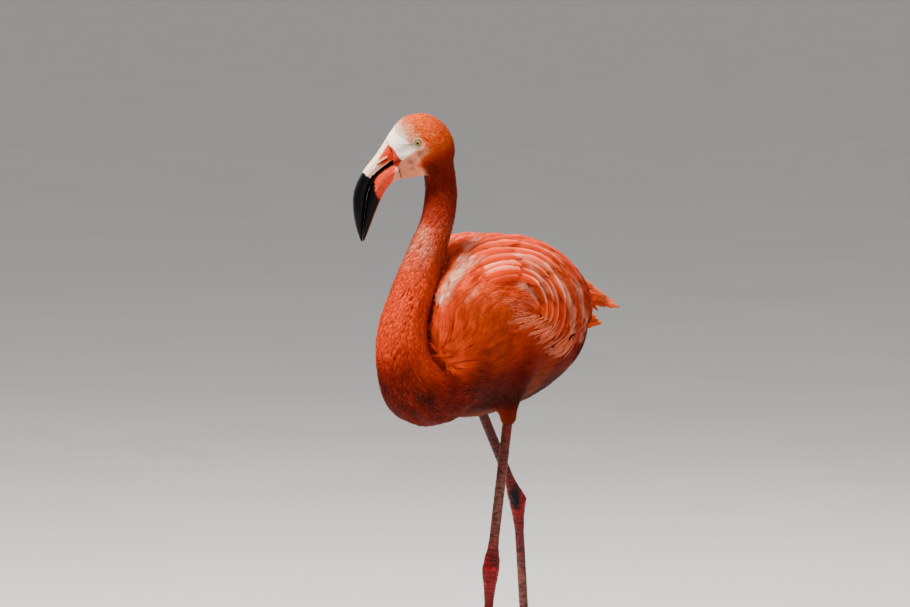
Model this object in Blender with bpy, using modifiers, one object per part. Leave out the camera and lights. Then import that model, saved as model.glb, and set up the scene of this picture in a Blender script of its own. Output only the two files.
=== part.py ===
"""A life-size American flamingo, walking: the body's parts as closed solids, one named object each.

The bird faces -Y and its left side is +X. Everything is in metres and stands on Z = 0.
Run with: blender --background --python part.py
"""

import math

import bmesh
import bpy
import numpy as np
from mathutils import Matrix, Vector

# Where the point under the middle of the body stands, so that the bird's box is centred on the origin.
STANCE = Vector((0.0005, -0.0363, 0.0))
GAP = 0.00035  # between two parts that touch

# Trunk, full at the breast and drawn up to the rump: (along Y, belly height, back height, half width).
TRUNK_STATIONS = (
    (-0.152, 0.583, 0.593, 0.006),
    (-0.148, 0.548, 0.622, 0.032),
    (-0.132, 0.512, 0.650, 0.056),
    (-0.100, 0.487, 0.674, 0.074),
    (-0.055, 0.478, 0.688, 0.083),
    (-0.005, 0.480, 0.692, 0.086),
    (0.045, 0.488, 0.687, 0.084),
    (0.090, 0.500, 0.672, 0.077),
    (0.130, 0.519, 0.650, 0.064),
    (0.162, 0.544, 0.628, 0.046),
    (0.182, 0.566, 0.612, 0.027),
    (0.190, 0.584, 0.596, 0.006),
)

# Folded wings, laid on the trunk: where they start and end along it, and how far round it they reach.
WING_FRONT_Y = -0.118
WING_REAR_Y = 0.205
WING_TIP_START_Y = 0.160  # behind this the wing leaves the trunk's rounding
WING_TOP_ANGLE = math.radians(12)
WING_LOW_ANGLE = math.radians(104)
WING_THICKNESS = 0.012

TAIL_ROOT = Vector((0.0, 0.150, 0.612))
TAIL_TIP = Vector((0.0, 0.289, 0.589))
TAIL_HALF_WIDTH = 0.030
TAIL_HALF_DEPTH = 0.014

# The neck's line from inside the breast to the skull: (along Y, height, radius), on the middle plane.
NECK_LINE = (
    (-0.070, 0.533, 0.044),
    (-0.118, 0.519, 0.045),
    (-0.156, 0.526, 0.0415),
    (-0.1805, 0.557, 0.0345),
    (-0.1790, 0.597, 0.0270),
    (-0.157, 0.638, 0.0245),
    (-0.131, 0.677, 0.0216),
    (-0.1085, 0.710, 0.0192),
    (-0.096, 0.741, 0.0187),
    (-0.0925, 0.770, 0.0188),
    (-0.099, 0.800, 0.0190),
)
NECK_CUTS = (0.36, 0.68)  # shares of its length where the neck is parted

# Skull: its middle, and how it is turned from the body's heading and nodded down.
SKULL_MIDDLE = Vector((-0.0125, -0.116, 0.8005))
HEAD_TURN = math.radians(-57)
HEAD_NOD = math.radians(20)

# Stations along the head, from the nape to the bill: (forward, lowest, highest, half width).
HEAD_STATIONS = (
    (-0.0345, -0.006, 0.004, 0.004),
    (-0.0318, -0.020, 0.014, 0.0125),
    (-0.025, -0.0280, 0.0270, 0.0185),
    (-0.012, -0.0320, 0.0375, 0.0225),
    (0.003, -0.0330, 0.0400, 0.0232),
    (0.018, -0.0312, 0.0370, 0.0210),
    (0.031, -0.0290, 0.0295, 0.0172),
    (0.0405, -0.0268, 0.0220, 0.0146),
)

# The bill in the head's middle plane, (forward, up): its ridge, the mouth's line and its keel.
BILL_RIDGE = ((0.0395, 0.0225), (0.0565, 0.0096), (0.0773, -0.0036), (0.0946, -0.0210),
              (0.1036, -0.0432), (0.1073, -0.0655), (0.1068, -0.0810))
MOUTH_LINE = ((0.0360, -0.0047), (0.0500, -0.0073), (0.0660, -0.0130), (0.0800, -0.0280),
              (0.0915, -0.0490), (0.1000, -0.0665), (0.1050, -0.0790))
BILL_KEEL = ((0.0380, -0.0264), (0.0495, -0.0276), (0.0622, -0.0353), (0.0755, -0.0490),
             (0.0880, -0.0632), (0.0982, -0.0748), (0.1040, -0.0806))
BILL_HALF_WIDTHS = (0.0142, 0.0138, 0.0130, 0.0122, 0.0104, 0.0070, 0.0022)
MOUTH_GAP = 0.0003

EYE_FORWARD = 0.0050
EYE_UP = 0.0067
EYE_OUT = 0.0170
EYE_RADIUS = 0.0058

# Legs: the knee hidden in the body, the ankle and the foot's joint, for each side.
LEFT_LEG = (Vector((0.058, -0.018, 0.605)), Vector((0.045, -0.062, 0.302)), Vector((0.040, -0.082, 0.014)))
RIGHT_LEG = (Vector((-0.058, -0.016, 0.605)), Vector((-0.045, 0.139, 0.357)), Vector((-0.040, 0.163, 0.058)))
THIGH_END = 0.44  # share of the shin that feathers cover
THIGH_RADII = (0.018, 0.036, 0.040, 0.031, 0.0165, 0.0078)
SHIN_RADIUS = 0.0058
SHANK_RADIUS = 0.0053
ANKLE_RADIUS = 0.0104
ANKLE_HALF_LENGTH = 0.034
FOOT_JOINT_RADIUS = 0.0078
HEEL_HEIGHT = 0.015

# Toes: (name, turn from straight ahead towards the outside, length, radius at the root).
TOES = (("inner", math.radians(-31), 0.062, 0.0046), ("middle", math.radians(3), 0.080, 0.0052),
        ("outer", math.radians(34), 0.073, 0.0048))
TOE_TIP_RADIUS = 0.0030
HIND_TOE_LENGTH = 0.016
CLAW_LENGTH = 0.0075
CLAW_RADIUS = 0.0021
SOLE_SHARE = 0.8  # height of a flat toe's middle, as a share of its radius: the rest is pressed flat
WEB_REACH = 0.86  # share of the toes' length that the web joins
WEB_START = 1.7  # the toe sections where the web begins
WEB_HOLLOW = 0.28
WEB_THICKNESS = 0.0016


def smooth_line(points, count):
    """A Catmull-Rom curve through rows of numbers, sampled count times at even shares of its rows."""
    rows = np.array(points, float)
    rows = np.vstack([2 * rows[0] - rows[1], rows, 2 * rows[-1] - rows[-2]])
    at = np.linspace(0, len(rows) - 3, count)
    i = np.minimum(at.astype(int), len(rows) - 4)
    t = (at - i)[:, None]
    a, b, c, d = rows[i], rows[i + 1], rows[i + 2], rows[i + 3]
    return 0.5 * (2 * b + (c - a) * t + (2 * a - 5 * b + 4 * c - d) * t**2 + (3 * b - a - 3 * c + d) * t**3)


TRUNK_ROWS = smooth_line(TRUNK_STATIONS, 200)


def principled(name, colour, roughness):
    """A plain material."""
    material = bpy.data.materials.new(name)
    material.use_nodes = True
    shader = material.node_tree.nodes["Principled BSDF"]
    shader.inputs["Base Color"].default_value = (*colour, 1.0)
    shader.inputs["Roughness"].default_value = roughness
    return material


def add_object(name, mesh, collection, material=None):
    """Links a mesh as a named object."""
    obj = bpy.data.objects.new(name, mesh)
    collection.objects.link(obj)
    if material:
        mesh.materials.append(material)
    return obj


def mesh_from(bm, name):
    """Turns a bmesh into a mesh of triangles, with its doubles merged and its faces pointing out."""
    bmesh.ops.remove_doubles(bm, verts=bm.verts, dist=1e-5)
    bmesh.ops.recalc_face_normals(bm, faces=bm.faces)
    bmesh.ops.triangulate(bm, faces=bm.faces)
    mesh = bpy.data.meshes.new(name)
    bm.to_mesh(mesh)
    bm.free()
    mesh.shade_smooth()
    return mesh


def loft(name, rings, collection):
    """A closed solid through rings of points, its ends closed by fans."""
    bm = bmesh.new()
    made = [[bm.verts.new(p) for p in ring] for ring in rings]
    for low, high in zip(made, made[1:]):
        for k in range(len(low)):
            n = (k + 1) % len(low)
            bm.faces.new((low[k], low[n], high[n], high[k]))
    for ring in (made[0], made[-1]):
        middle = bm.verts.new(sum((v.co for v in ring), Vector()) / len(ring))
        for k in range(len(ring)):
            bm.faces.new((ring[k], ring[(k + 1) % len(ring)], middle))
    return add_object(name, mesh_from(bm, name), collection)


def ball(name, place, collection, segments, rings):
    """A unit sphere with its poles along Y, each of its points moved by place(point)."""
    bm = bmesh.new()
    bmesh.ops.create_uvsphere(bm, u_segments=segments, v_segments=rings, radius=1.0,
                              matrix=Matrix.Rotation(math.pi / 2, 4, "X"))
    for vert in bm.verts:
        vert.co = place(vert.co.copy())
    return add_object(name, mesh_from(bm, name), collection)


def tube(name, points, radii, collection, bevel=5):
    """A round tube of changing thickness, made from a curve with filled caps, as a mesh."""
    curve = bpy.data.curves.new(name, "CURVE")
    curve.dimensions = "3D"
    curve.bevel_depth = 1.0
    curve.bevel_resolution = bevel
    curve.use_fill_caps = True
    spline = curve.splines.new("POLY")
    spline.points.add(len(points) - 1)
    for spot, co, radius in zip(spline.points, points, radii):
        spot.co = (*co, 1.0)
        spot.radius = radius
    drawn = bpy.data.objects.new(name + "_line", curve)
    collection.objects.link(drawn)
    graph = bpy.context.evaluated_depsgraph_get()
    bm = bmesh.new()
    bm.from_mesh(bpy.data.meshes.new_from_object(drawn.evaluated_get(graph)))
    bpy.data.objects.remove(drawn)
    return add_object(name, mesh_from(bm, name), collection)


def applied(obj):
    """Bakes an object's modifiers into its mesh."""
    graph = bpy.context.evaluated_depsgraph_get()
    mesh = bpy.data.meshes.new_from_object(obj.evaluated_get(graph))
    obj.modifiers.clear()
    obj.data = mesh
    return obj


def combine(obj, other, operation):
    """Joins or cuts obj with other, by an exact Boolean."""
    modifier = obj.modifiers.new(operation.title(), "BOOLEAN")
    modifier.operation = operation
    modifier.solver = "EXACT"
    modifier.object = other
    return applied(obj)


def cut_clear(obj, *others):
    """Cuts obj by other parts, each grown by the gap."""
    for other in others:
        bm = bmesh.new()
        bm.from_mesh(other.data)
        moves = [vert.normal * GAP * min(vert.calc_shell_factor(), 3.0) for vert in bm.verts]
        for vert, move in zip(bm.verts, moves):
            vert.co += move
        grown = add_object("grown", mesh_from(bm, "grown"), bpy.context.scene.collection)
        combine(obj, grown, "DIFFERENCE")
        bpy.data.objects.remove(grown)
    return obj


def keep_side(obj, point, direction):
    """Keeps the part of obj on the far side of a plane, and closes the cut."""
    bm = bmesh.new()
    bm.from_mesh(obj.data)
    bmesh.ops.bisect_plane(bm, geom=bm.verts[:] + bm.edges[:] + bm.faces[:], dist=1e-6,
                           plane_co=point, plane_no=direction, clear_inner=True)
    bmesh.ops.holes_fill(bm, edges=[e for e in bm.edges if e.is_boundary])
    materials = list(obj.data.materials)
    obj.data = mesh_from(bm, obj.name)
    for material in materials:
        obj.data.materials.append(material)
    return obj


def copy_of(obj, name, collection):
    """An unlinked copy of an object's mesh as a new object."""
    return add_object(name, obj.data.copy(), collection)


def trunk_point(y, angle, lift=0.0):
    """The trunk's surface at a place along Y and an angle from its top towards +X, lifted outwards."""
    low, high, wide = (np.interp(y, TRUNK_ROWS[:, 0], TRUNK_ROWS[:, k]) for k in (1, 2, 3))
    return Vector((math.sin(angle) * (wide + lift), y,
                   (low + high) / 2 + math.cos(angle) * ((high - low) / 2 + lift)))


def make_trunk(parts):
    """The trunk, with the coat's thickness."""
    turns = np.linspace(0, 2 * math.pi, 26, endpoint=False)
    rows = smooth_line(TRUNK_STATIONS, 20)
    return loft("trunk", [[trunk_point(y, a) for a in turns] for y in rows[:, 0]], parts)


def make_wing(name, side, parts):
    """A folded wing: a thin lens that follows the trunk's side, narrow and low at its rear end."""

    def place(p):
        along = 0.5 + 0.5 * p.y
        y = WING_FRONT_Y + (WING_REAR_Y - WING_FRONT_Y) * along
        on_trunk = min(y, WING_TIP_START_Y) + 0.3 * max(0.0, y - WING_TIP_START_Y)
        middle = 0.5 * (WING_TOP_ANGLE + WING_LOW_ANGLE) + math.radians(10) * (along - 0.5)
        reach = 0.5 * (WING_LOW_ANGLE - WING_TOP_ANGLE) * (1 - 0.30 * along**2)
        angle = middle + reach * p.z
        spot = trunk_point(on_trunk, side * angle, WING_THICKNESS * p.x)
        spot.y = y
        return spot

    return ball(name, place, parts, segments=14, rings=15)


def make_tail(parts):
    """The short folded tail: a flat wedge, rounded at its end."""
    axis = TAIL_TIP - TAIL_ROOT
    rings = []
    for share in np.linspace(0.0, 0.985, 8):
        taper = (1 - share**2.2) ** 0.6
        middle = TAIL_ROOT + axis * share
        wide = TAIL_HALF_WIDTH * (0.9 + 0.1 * share) * taper + 0.0008
        deep = TAIL_HALF_DEPTH * (1 - 0.6 * share) * taper + 0.0005
        turns = np.linspace(0, 2 * math.pi, 16, endpoint=False)
        rings.append([middle + Vector((wide * math.cos(a), 0, deep * math.sin(a))) for a in turns])
    return loft("tail", rings, parts)


def neck_rows():
    """The neck's line and radius, from the breast up, with the top leaning towards the turned head."""
    rows = smooth_line(NECK_LINE, 30)
    lean = np.clip((rows[:, 1] - 0.70) / 0.10, 0, 1) ** 2 * SKULL_MIDDLE.x
    return [Vector((x, y, z)) for x, (y, z, _) in zip(lean, rows)], rows[:, 2]


def thin_disc(centre, way, radius):
    """A disc as thick as the gap, square to a direction: it parts a tube in two."""
    bm = bmesh.new()
    turn = Vector(way).to_track_quat("Z", "Y").to_matrix().to_4x4()
    bmesh.ops.create_cone(bm, cap_ends=True, segments=24, radius1=radius, radius2=radius, depth=GAP,
                          matrix=Matrix.Translation(centre) @ turn)
    return add_object("disc", mesh_from(bm, "disc"), bpy.context.scene.collection)


def separate_bodies(obj, names, parts):
    """Splits a mesh into its loose bodies, named from the lowest up."""
    bm = bmesh.new()
    bm.from_mesh(obj.data)
    left, groups = set(bm.verts), []
    while left:
        reached, ahead = set(), [left.pop()]
        while ahead:
            vert = ahead.pop()
            reached.add(vert.index)
            fresh = [e.other_vert(vert) for e in vert.link_edges if e.other_vert(vert) in left]
            left.difference_update(fresh)
            ahead.extend(fresh)
        groups.append(reached)
    groups.sort(key=lambda group: sum(obj.data.vertices[i].co.z for i in group) / len(group))
    made = []
    for name, group in zip(names, groups):
        body = bmesh.new()
        body.from_mesh(obj.data)
        bmesh.ops.delete(body, geom=[v for v in body.verts if v.index not in group], context="VERTS")
        made.append(add_object(name, mesh_from(body, name), parts))
    bm.free()
    bpy.data.objects.remove(obj)
    return made


def make_neck(parts, skull):
    """The neck in three lengths, parted by thin cuts, from the breast to the skull."""
    points, radii = neck_rows()
    whole = tube("neck", points, radii, parts, bevel=4)
    for share in NECK_CUTS:
        i = round(share * (len(points) - 1))
        disc = thin_disc(points[i], points[i + 1] - points[i - 1], 1.5 * radii[i])
        combine(whole, disc, "DIFFERENCE")
        bpy.data.objects.remove(disc)
    cut_clear(whole, skull)
    return separate_bodies(whole, ("neck_lower", "neck_middle", "neck_upper"), parts)


def head_matrix():
    """Places the head's own axes, forward -Y, left +X and up +Z, where the skull is."""
    return Matrix.Translation(SKULL_MIDDLE) @ Matrix.Rotation(HEAD_TURN, 4, "Z") @ Matrix.Rotation(HEAD_NOD, 4, "X")


def in_head(forward, out, up):
    """A point given along the head, to its left and up, in the bird's frame."""
    return head_matrix() @ Vector((out, -forward, up))


def make_head(parts):
    """The feathered head, from the nape to the root of the bill."""
    turns = np.linspace(0, 2 * math.pi, 22, endpoint=False)
    rings = []
    for forward, low, high, wide in smooth_line(HEAD_STATIONS, 17):
        middle, deep = (low + high) / 2, (high - low) / 2
        ring = []
        for a in turns:
            across = wide * math.copysign(abs(math.cos(a)) ** 0.92, math.cos(a))
            ring.append(in_head(forward, across, middle + deep * math.sin(a)))
        rings.append(ring)
    return loft("head", rings, parts)


def make_bill_half(name, upper, lower, top_narrow, low_narrow, parts):
    """One half of the bill between two lines of its side view, its edges drawn in by the shares given."""
    count = 15
    tops = smooth_line(upper, count)
    lows = smooth_line(lower, count)
    widths = smooth_line([(w,) for w in BILL_HALF_WIDTHS], count)[:, 0]
    turns = np.linspace(0, 2 * math.pi, 12, endpoint=False)
    rings = []
    for top, low, wide in zip(tops, lows, widths):
        middle, half = (top + low) / 2, (top - low) / 2
        ring = []
        for a in turns:
            rise = math.copysign(abs(math.sin(a)) ** 0.8, math.sin(a))
            narrow = top_narrow if rise > 0 else low_narrow
            across = wide * math.copysign(abs(math.cos(a)) ** 0.7, math.cos(a)) * (1 - narrow * abs(rise) ** 3)
            forward, up = middle + half * rise
            ring.append(in_head(forward, across, up))
        rings.append(ring)
    return loft(name, rings, parts)


def make_bill(parts):
    """The upper and lower halves of the bent bill, closed on each other."""
    above = [(f, u + MOUTH_GAP / 2) for f, u in MOUTH_LINE]
    below = [(f - MOUTH_GAP / 2, u - MOUTH_GAP) for f, u in MOUTH_LINE]
    return (make_bill_half("bill_upper", BILL_RIDGE, above, 0.30, 0.0, parts),
            make_bill_half("bill_lower", below, BILL_KEEL, 0.0, 0.30, parts))


def make_eye(name, side, parts):
    """An eyeball, set in the side of the head."""
    bm = bmesh.new()
    place = Matrix.Translation(in_head(EYE_FORWARD, side * EYE_OUT, EYE_UP)) @ head_matrix().to_3x3().to_4x4()
    bmesh.ops.create_uvsphere(bm, u_segments=12, v_segments=7, radius=EYE_RADIUS,
                              matrix=place @ Matrix.Rotation(math.pi / 2, 4, "Y"))
    return add_object(name, mesh_from(bm, name), parts)


def make_thigh(name, leg, parts):
    """The feathered upper part of the leg: a cone of feathers that ends close round the shin."""
    knee, ankle, _ = leg
    count = 11
    radii = smooth_line([(r,) for r in THIGH_RADII], count)[:, 0]
    points = [knee.lerp(ankle, THIGH_END * share) for share in np.linspace(0.0, 1.0, count)]
    return tube(name, points, radii, parts, bevel=4)


def leg_line(leg):
    """The bare leg's points and radii, from inside the thigh down to the foot's joint."""
    knee, ankle, joint = leg
    points, radii = [], []
    for start, end, radius, first in ((knee, ankle, SHIN_RADIUS, THIGH_END - 0.06), (ankle, joint, SHANK_RADIUS, 0.0)):
        for share in np.linspace(first, 1.0, 16)[:-1]:
            points.append(start.lerp(end, share))
            near = min((points[-1] - ankle).length / ANKLE_HALF_LENGTH, 1.0)
            low = min((points[-1] - joint).length / 0.022, 1.0)
            bulge = (math.cos(math.pi * near) + 1) / 2
            foot = (math.cos(math.pi * low) + 1) / 2
            radii.append(radius + (ANKLE_RADIUS - radius) * bulge + (FOOT_JOINT_RADIUS - radius) * foot)
    for step, share in ((0.0, 1.0), (0.0045, 0.8), (0.007, 0.4)):
        points.append(joint + (joint - ankle).normalized() * step)
        radii.append(FOOT_JOINT_RADIUS * share)
    return points, radii


def make_leg(side_name, leg, thigh, parts):
    """Shin, ankle, shank and heel of one bare leg, parted by thin cuts."""
    points, radii = leg_line(leg)
    whole = tube("leg", points, radii, parts, bevel=3)
    cut_clear(whole, thigh)
    knee, ankle, joint = leg
    down_shin, down_shank = (ankle - knee).normalized(), (joint - ankle).normalized()
    over, under = ankle - down_shin * ANKLE_HALF_LENGTH, ankle + down_shank * ANKLE_HALF_LENGTH
    low = joint - down_shank * HEEL_HEIGHT
    pieces = []
    for name, cuts in (("shin", ((over, -down_shin),)), ("ankle", ((over, down_shin), (under, -down_shank))),
                       ("shank", ((under, down_shank), (low, -down_shank))), ("heel", ((low, down_shank),))):
        piece = copy_of(whole, f"{name}_{side_name}", parts)
        for spot, way in cuts:
            keep_side(piece, spot + way * GAP / 2, way)
        pieces.append(piece)
    bpy.data.objects.remove(whole)
    return pieces[-1]


def toe_line(joint, turn, length, root, lifted, side, count=8):
    """A toe's points and radii, from the foot's joint forward: flat, or sloping down to its last third when lifted."""
    way = Vector((side * math.sin(turn), -math.cos(turn), 0))
    points, radii = [], []
    for share in np.linspace(0, 1, count):
        radius = root + (TOE_TIP_RADIUS - root) * share
        sole = radius * SOLE_SHARE
        if lifted:
            reach = length * (share - 0.30 * min(share, 0.62))
            height = sole + (joint.z - sole) * max(0.0, 1 - share / 0.62) ** 1.25
        else:
            reach = length * share
            height = sole + (joint.z - sole) * max(0.0, 1 - share / 0.30) ** 2
        points.append(Vector((joint.x, joint.y, 0)) + way * reach + Vector((0, 0, height)))
        radii.append(radius)
    return points, radii


def join(obj, other):
    """Joins other to obj, and removes it."""
    combine(obj, other, "UNION")
    bpy.data.objects.remove(other)
    return obj


def make_foot(side_name, side, leg, heel, parts):
    """A webbed foot: three front toes, the web between them and a small hind toe, cut flat underneath."""
    joint = leg[2]
    lifted = joint.z > 0.03
    foot, claws, lines = None, [], []
    for toe_name, turn, length, root in TOES:
        line, radii = toe_line(joint, turn, length, root, lifted, side)
        toe = tube("toe", line, radii, parts, bevel=2)
        if foot:
            join(toe, make_web(lines[-1], line, parts))
            join(foot, toe)
        foot = foot or toe
        claws.append(tube(f"claw_{side_name}_{toe_name}", *claw_line(line), parts, bevel=2))
        lines.append(line)
    join(foot, heel)
    hind = hind_toe_line(joint, leg[1], side)
    join(foot, tube("toe", hind, np.linspace(0.0040, 0.0026, len(hind)), parts, bevel=2))
    claws.append(tube(f"claw_{side_name}_hind", *claw_line(hind, 0.7), parts, bevel=2))
    foot.name = f"foot_{side_name}"
    foot.data.name = foot.name
    keep_side(foot, Vector((0, 0, 0)), Vector((0, 0, 1)))
    cut_clear(foot, *claws)


def hind_toe_line(joint, ankle, side):
    """The small raised hind toe, from the back of the joint."""
    back = Vector((0, 1, 0))
    start = joint + (ankle - joint).normalized() * 0.006
    return [start + back * (0.003 + HIND_TOE_LENGTH * s) - Vector((0, 0, 0.005 * s)) for s in np.linspace(0, 1, 5)]


def claw_line(line, scale=1.0):
    """A claw on the end of a toe: its points and radii."""
    way = (line[-1] - line[-2]).normalized()
    points, radii = [], []
    for share in np.linspace(0, 1, 4):
        points.append(line[-1] + way * (share * CLAW_LENGTH * scale - 0.0012) + Vector((0, 0, 0.0003 - 0.0010 * share**2)))
        radii.append(CLAW_RADIUS * scale * (1 - 0.72 * share))
    return points, radii


def make_web(first, second, parts):
    """The skin between two toes, with a hollowed front edge."""
    count = len(first)
    columns = 5
    bm = bmesh.new()
    rows = []
    for k in range(count):
        row = []
        for c in range(columns):
            across = c / (columns - 1)
            hollow = 1 - WEB_HOLLOW * (1 - (2 * across - 1) ** 2)
            at = WEB_START + k / (count - 1) * ((count - 1) * WEB_REACH * hollow - WEB_START)
            i = min(int(at), count - 2)
            a, b = (line[i].lerp(line[i + 1], at - i) for line in (first, second))
            inset = 0.0010 / max((b - a).length, 0.004)
            spot = a.lerp(b, inset + (1 - 2 * inset) * across)
            row.append(bm.verts.new(spot - Vector((0, 0, 0.0008))))
        rows.append(row)
    for low, high in zip(rows, rows[1:]):
        for c in range(columns - 1):
            bm.faces.new((low[c], low[c + 1], high[c + 1], high[c]))
    web = add_object("web", mesh_from(bm, "web"), parts)
    wall = web.modifiers.new("Solidify", "SOLIDIFY")
    wall.thickness = WEB_THICKNESS
    wall.offset = 0.0
    return applied(web)


def give_materials(parts):
    """Plain colours for each kind of part."""
    kinds = {
        "plumage": principled("plumage", (0.86, 0.22, 0.06), 0.75),
        "wing": principled("wing", (0.90, 0.33, 0.14), 0.65),
        "bare_skin": principled("bare_skin", (0.62, 0.18, 0.19), 0.45),
        "bill": principled("bill", (0.85, 0.45, 0.30), 0.35),
        "eye": principled("eye", (0.75, 0.68, 0.25), 0.10),
        "claw": principled("claw", (0.06, 0.04, 0.04), 0.40),
    }
    by_start = {"wing": "wing", "bill": "bill", "eye": "eye", "claw": "claw", "shin": "bare_skin",
                "ankle": "bare_skin", "shank": "bare_skin", "foot": "bare_skin"}
    for obj in parts.objects:
        kind = by_start.get(obj.name.split("_")[0], "plumage")
        obj.data.materials.clear()
        obj.data.materials.append(kinds[kind])


def main():
    """Builds the bird and sets it on its stance."""
    for obj in list(bpy.data.objects):
        bpy.data.objects.remove(obj)
    parts = bpy.data.collections.new("flamingo")
    bpy.context.scene.collection.children.link(parts)

    trunk = make_trunk(parts)
    wings = [make_wing("wing_left", 1, parts), make_wing("wing_right", -1, parts)]
    tail = make_tail(parts)
    head = make_head(parts)
    eyes = [make_eye("eye_left", 1, parts), make_eye("eye_right", -1, parts)]
    bill_upper, bill_lower = make_bill(parts)
    neck = make_neck(parts, head)
    thighs = [make_thigh("thigh_left", LEFT_LEG, parts), make_thigh("thigh_right", RIGHT_LEG, parts)]

    cut_clear(head, *eyes, bill_upper, bill_lower)
    for thigh in thighs:
        cut_clear(thigh, *wings)
    cut_clear(tail, *wings)
    cut_clear(trunk, *wings, *neck[:2], *thighs, tail)

    for side_name, side, leg, thigh in (("left", 1, LEFT_LEG, thighs[0]), ("right", -1, RIGHT_LEG, thighs[1])):
        heel = make_leg(side_name, leg, thigh, parts)
        make_foot(side_name, side, leg, heel, parts)

    give_materials(parts)
    stance = bpy.data.objects.new("stance", None)
    parts.objects.link(stance)
    for obj in parts.objects:
        if obj is not stance:
            obj.parent = stance
    stance.location = STANCE


main()
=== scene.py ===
"""A life-size American flamingo: one skin under coats of feathers, bent bill, scaled legs, webbed feet.

The bird faces -Y and its left side is +X. Everything is in metres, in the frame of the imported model.
"""

import sys
import logging
import math
from dataclasses import dataclass, field
from enum import Enum
from typing import Sequence

import bmesh
import bpy
import numpy as np
from bmesh.types import BMesh
from bpy.types import Material, Mesh, Node, NodeSocket, NodeTree, Object
from mathutils import Matrix, Vector
from mathutils.bvhtree import BVHTree
from mathutils.kdtree import KDTree
from numpy.linalg import norm


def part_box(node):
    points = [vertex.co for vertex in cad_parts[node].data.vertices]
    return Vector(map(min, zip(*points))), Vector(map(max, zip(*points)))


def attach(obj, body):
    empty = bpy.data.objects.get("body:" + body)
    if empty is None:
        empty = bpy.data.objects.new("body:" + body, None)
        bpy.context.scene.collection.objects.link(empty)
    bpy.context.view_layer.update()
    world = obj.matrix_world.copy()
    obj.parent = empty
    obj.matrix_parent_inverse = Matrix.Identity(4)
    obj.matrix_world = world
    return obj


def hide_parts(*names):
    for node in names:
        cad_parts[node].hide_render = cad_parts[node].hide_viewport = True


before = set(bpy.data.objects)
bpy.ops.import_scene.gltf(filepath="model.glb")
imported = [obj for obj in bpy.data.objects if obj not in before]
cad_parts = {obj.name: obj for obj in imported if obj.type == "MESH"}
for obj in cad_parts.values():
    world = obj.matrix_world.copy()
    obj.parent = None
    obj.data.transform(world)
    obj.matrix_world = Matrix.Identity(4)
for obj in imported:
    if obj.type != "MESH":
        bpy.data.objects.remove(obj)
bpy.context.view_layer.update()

log = logging.getLogger("flamingo")

UP = Vector((0.0, 0.0, 1.0))
SEED = 20
Array = np.ndarray
SIDES = {"left": 1.0, "right": -1.0}
Colour = tuple[float, float, float]
Rows = Sequence[tuple[float, ...]]


# ------------ places on the bird


def box_middle(node: str) -> Vector:
    """The middle of a CAD node's box."""
    low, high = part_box(node)
    return (Vector(low) + Vector(high)) / 2


TRUNK_MIDDLE_Y = 0.0190  # the trunk's middle, from the point under the body that the sizes below start at
BODY_ORIGIN = Vector((box_middle("trunk").x, box_middle("trunk").y - TRUNK_MIDDLE_Y, 0.0))


def on_body(x: float, y: float, z: float) -> Vector:
    """A point given from the spot on the floor under the body.

    Args:
        x: Metres to the bird's left.
        y: Metres towards its tail.
        z: Height.

    Returns:
        The same point in the frame.
    """
    return BODY_ORIGIN + Vector((x, y, z))


@dataclass
class HeadAxes:
    """The head's own axes, set by where its two eyes are."""

    nod: float = math.radians(20)
    eye_forward: float = 0.0050
    eye_up: float = 0.0067

    def __post_init__(self) -> None:
        """Finds the head's own directions from its two eyes."""
        left, right = box_middle("eye_left"), box_middle("eye_right")
        self.out = (left - right).normalized()
        level = self.out.cross(UP).normalized()
        self.forward = level * math.cos(self.nod) - UP * math.sin(self.nod)
        self.up = self.forward.cross(self.out)
        self.middle = (left + right) / 2 - self.forward * self.eye_forward - self.up * self.eye_up
        self.eyes = {"left": left, "right": right}

    def place(self, forward: float, out: float, up: float) -> Vector:
        """A point along the head, to its left and up, in the frame."""
        return self.middle + self.forward * forward + self.out * out + self.up * up

    def local(self, points: Array) -> Array:
        """Turns points of the frame into rows of (forward, out, up)."""
        axes = np.array([self.forward, self.out, self.up])
        return (points - np.array(self.middle)) @ axes.T


HEAD = HeadAxes()

# The neck's middle line from inside the breast up to the skull: (towards the tail, height).
NECK_LINE: Rows = (
    (-0.070, 0.533), (-0.118, 0.519), (-0.156, 0.526), (-0.1805, 0.557), (-0.179, 0.597), (-0.157, 0.638),
    (-0.131, 0.677), (-0.1085, 0.710), (-0.096, 0.741), (-0.0925, 0.770), (-0.099, 0.800),
)
NECK = ("neck_upper", "neck_middle", "neck_lower")
WINGS = ("wing_left", "wing_right")
THIGHS = ("thigh_left", "thigh_right")
FLESH = ("head", *NECK, "trunk", "tail", *WINGS, *THIGHS)
LEG_NODES = ("shin", "ankle", "shank", "foot")


def smooth_line(points: Rows, count: int) -> Array:
    """A Catmull-Rom curve through rows of numbers.

    Args:
        points: The rows that the curve goes through.
        count: How many rows come back.

    Returns:
        The rows, at even shares of the given ones.
    """
    rows = np.array(points, float)
    rows = np.vstack([2 * rows[0] - rows[1], rows, 2 * rows[-1] - rows[-2]])
    at = np.linspace(0, len(rows) - 3, count)
    i = np.minimum(at.astype(int), len(rows) - 4)
    t = (at - i)[:, None]
    a, b, c, d = rows[i], rows[i + 1], rows[i + 2], rows[i + 3]
    return 0.5 * (2 * b + (c - a) * t + (2 * a - 5 * b + 4 * c - d) * t**2 + (3 * b - a - 3 * c + d) * t**3)


def ramp(values: Array, low: float, high: float) -> Array:
    """A smooth step from 0 at low to 1 at high."""
    t = np.clip((values - low) / (high - low), 0.0, 1.0)
    return t * t * (3 - 2 * t)


def unit(vectors: Array) -> Array:
    """Rows scaled to length 1."""
    return vectors / np.maximum(norm(vectors, axis=-1, keepdims=True), 1e-9)


# ------------ meshes

LABEL_REACH = 0.004  # how far outside a node's box a point may be and still belong to it


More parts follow.
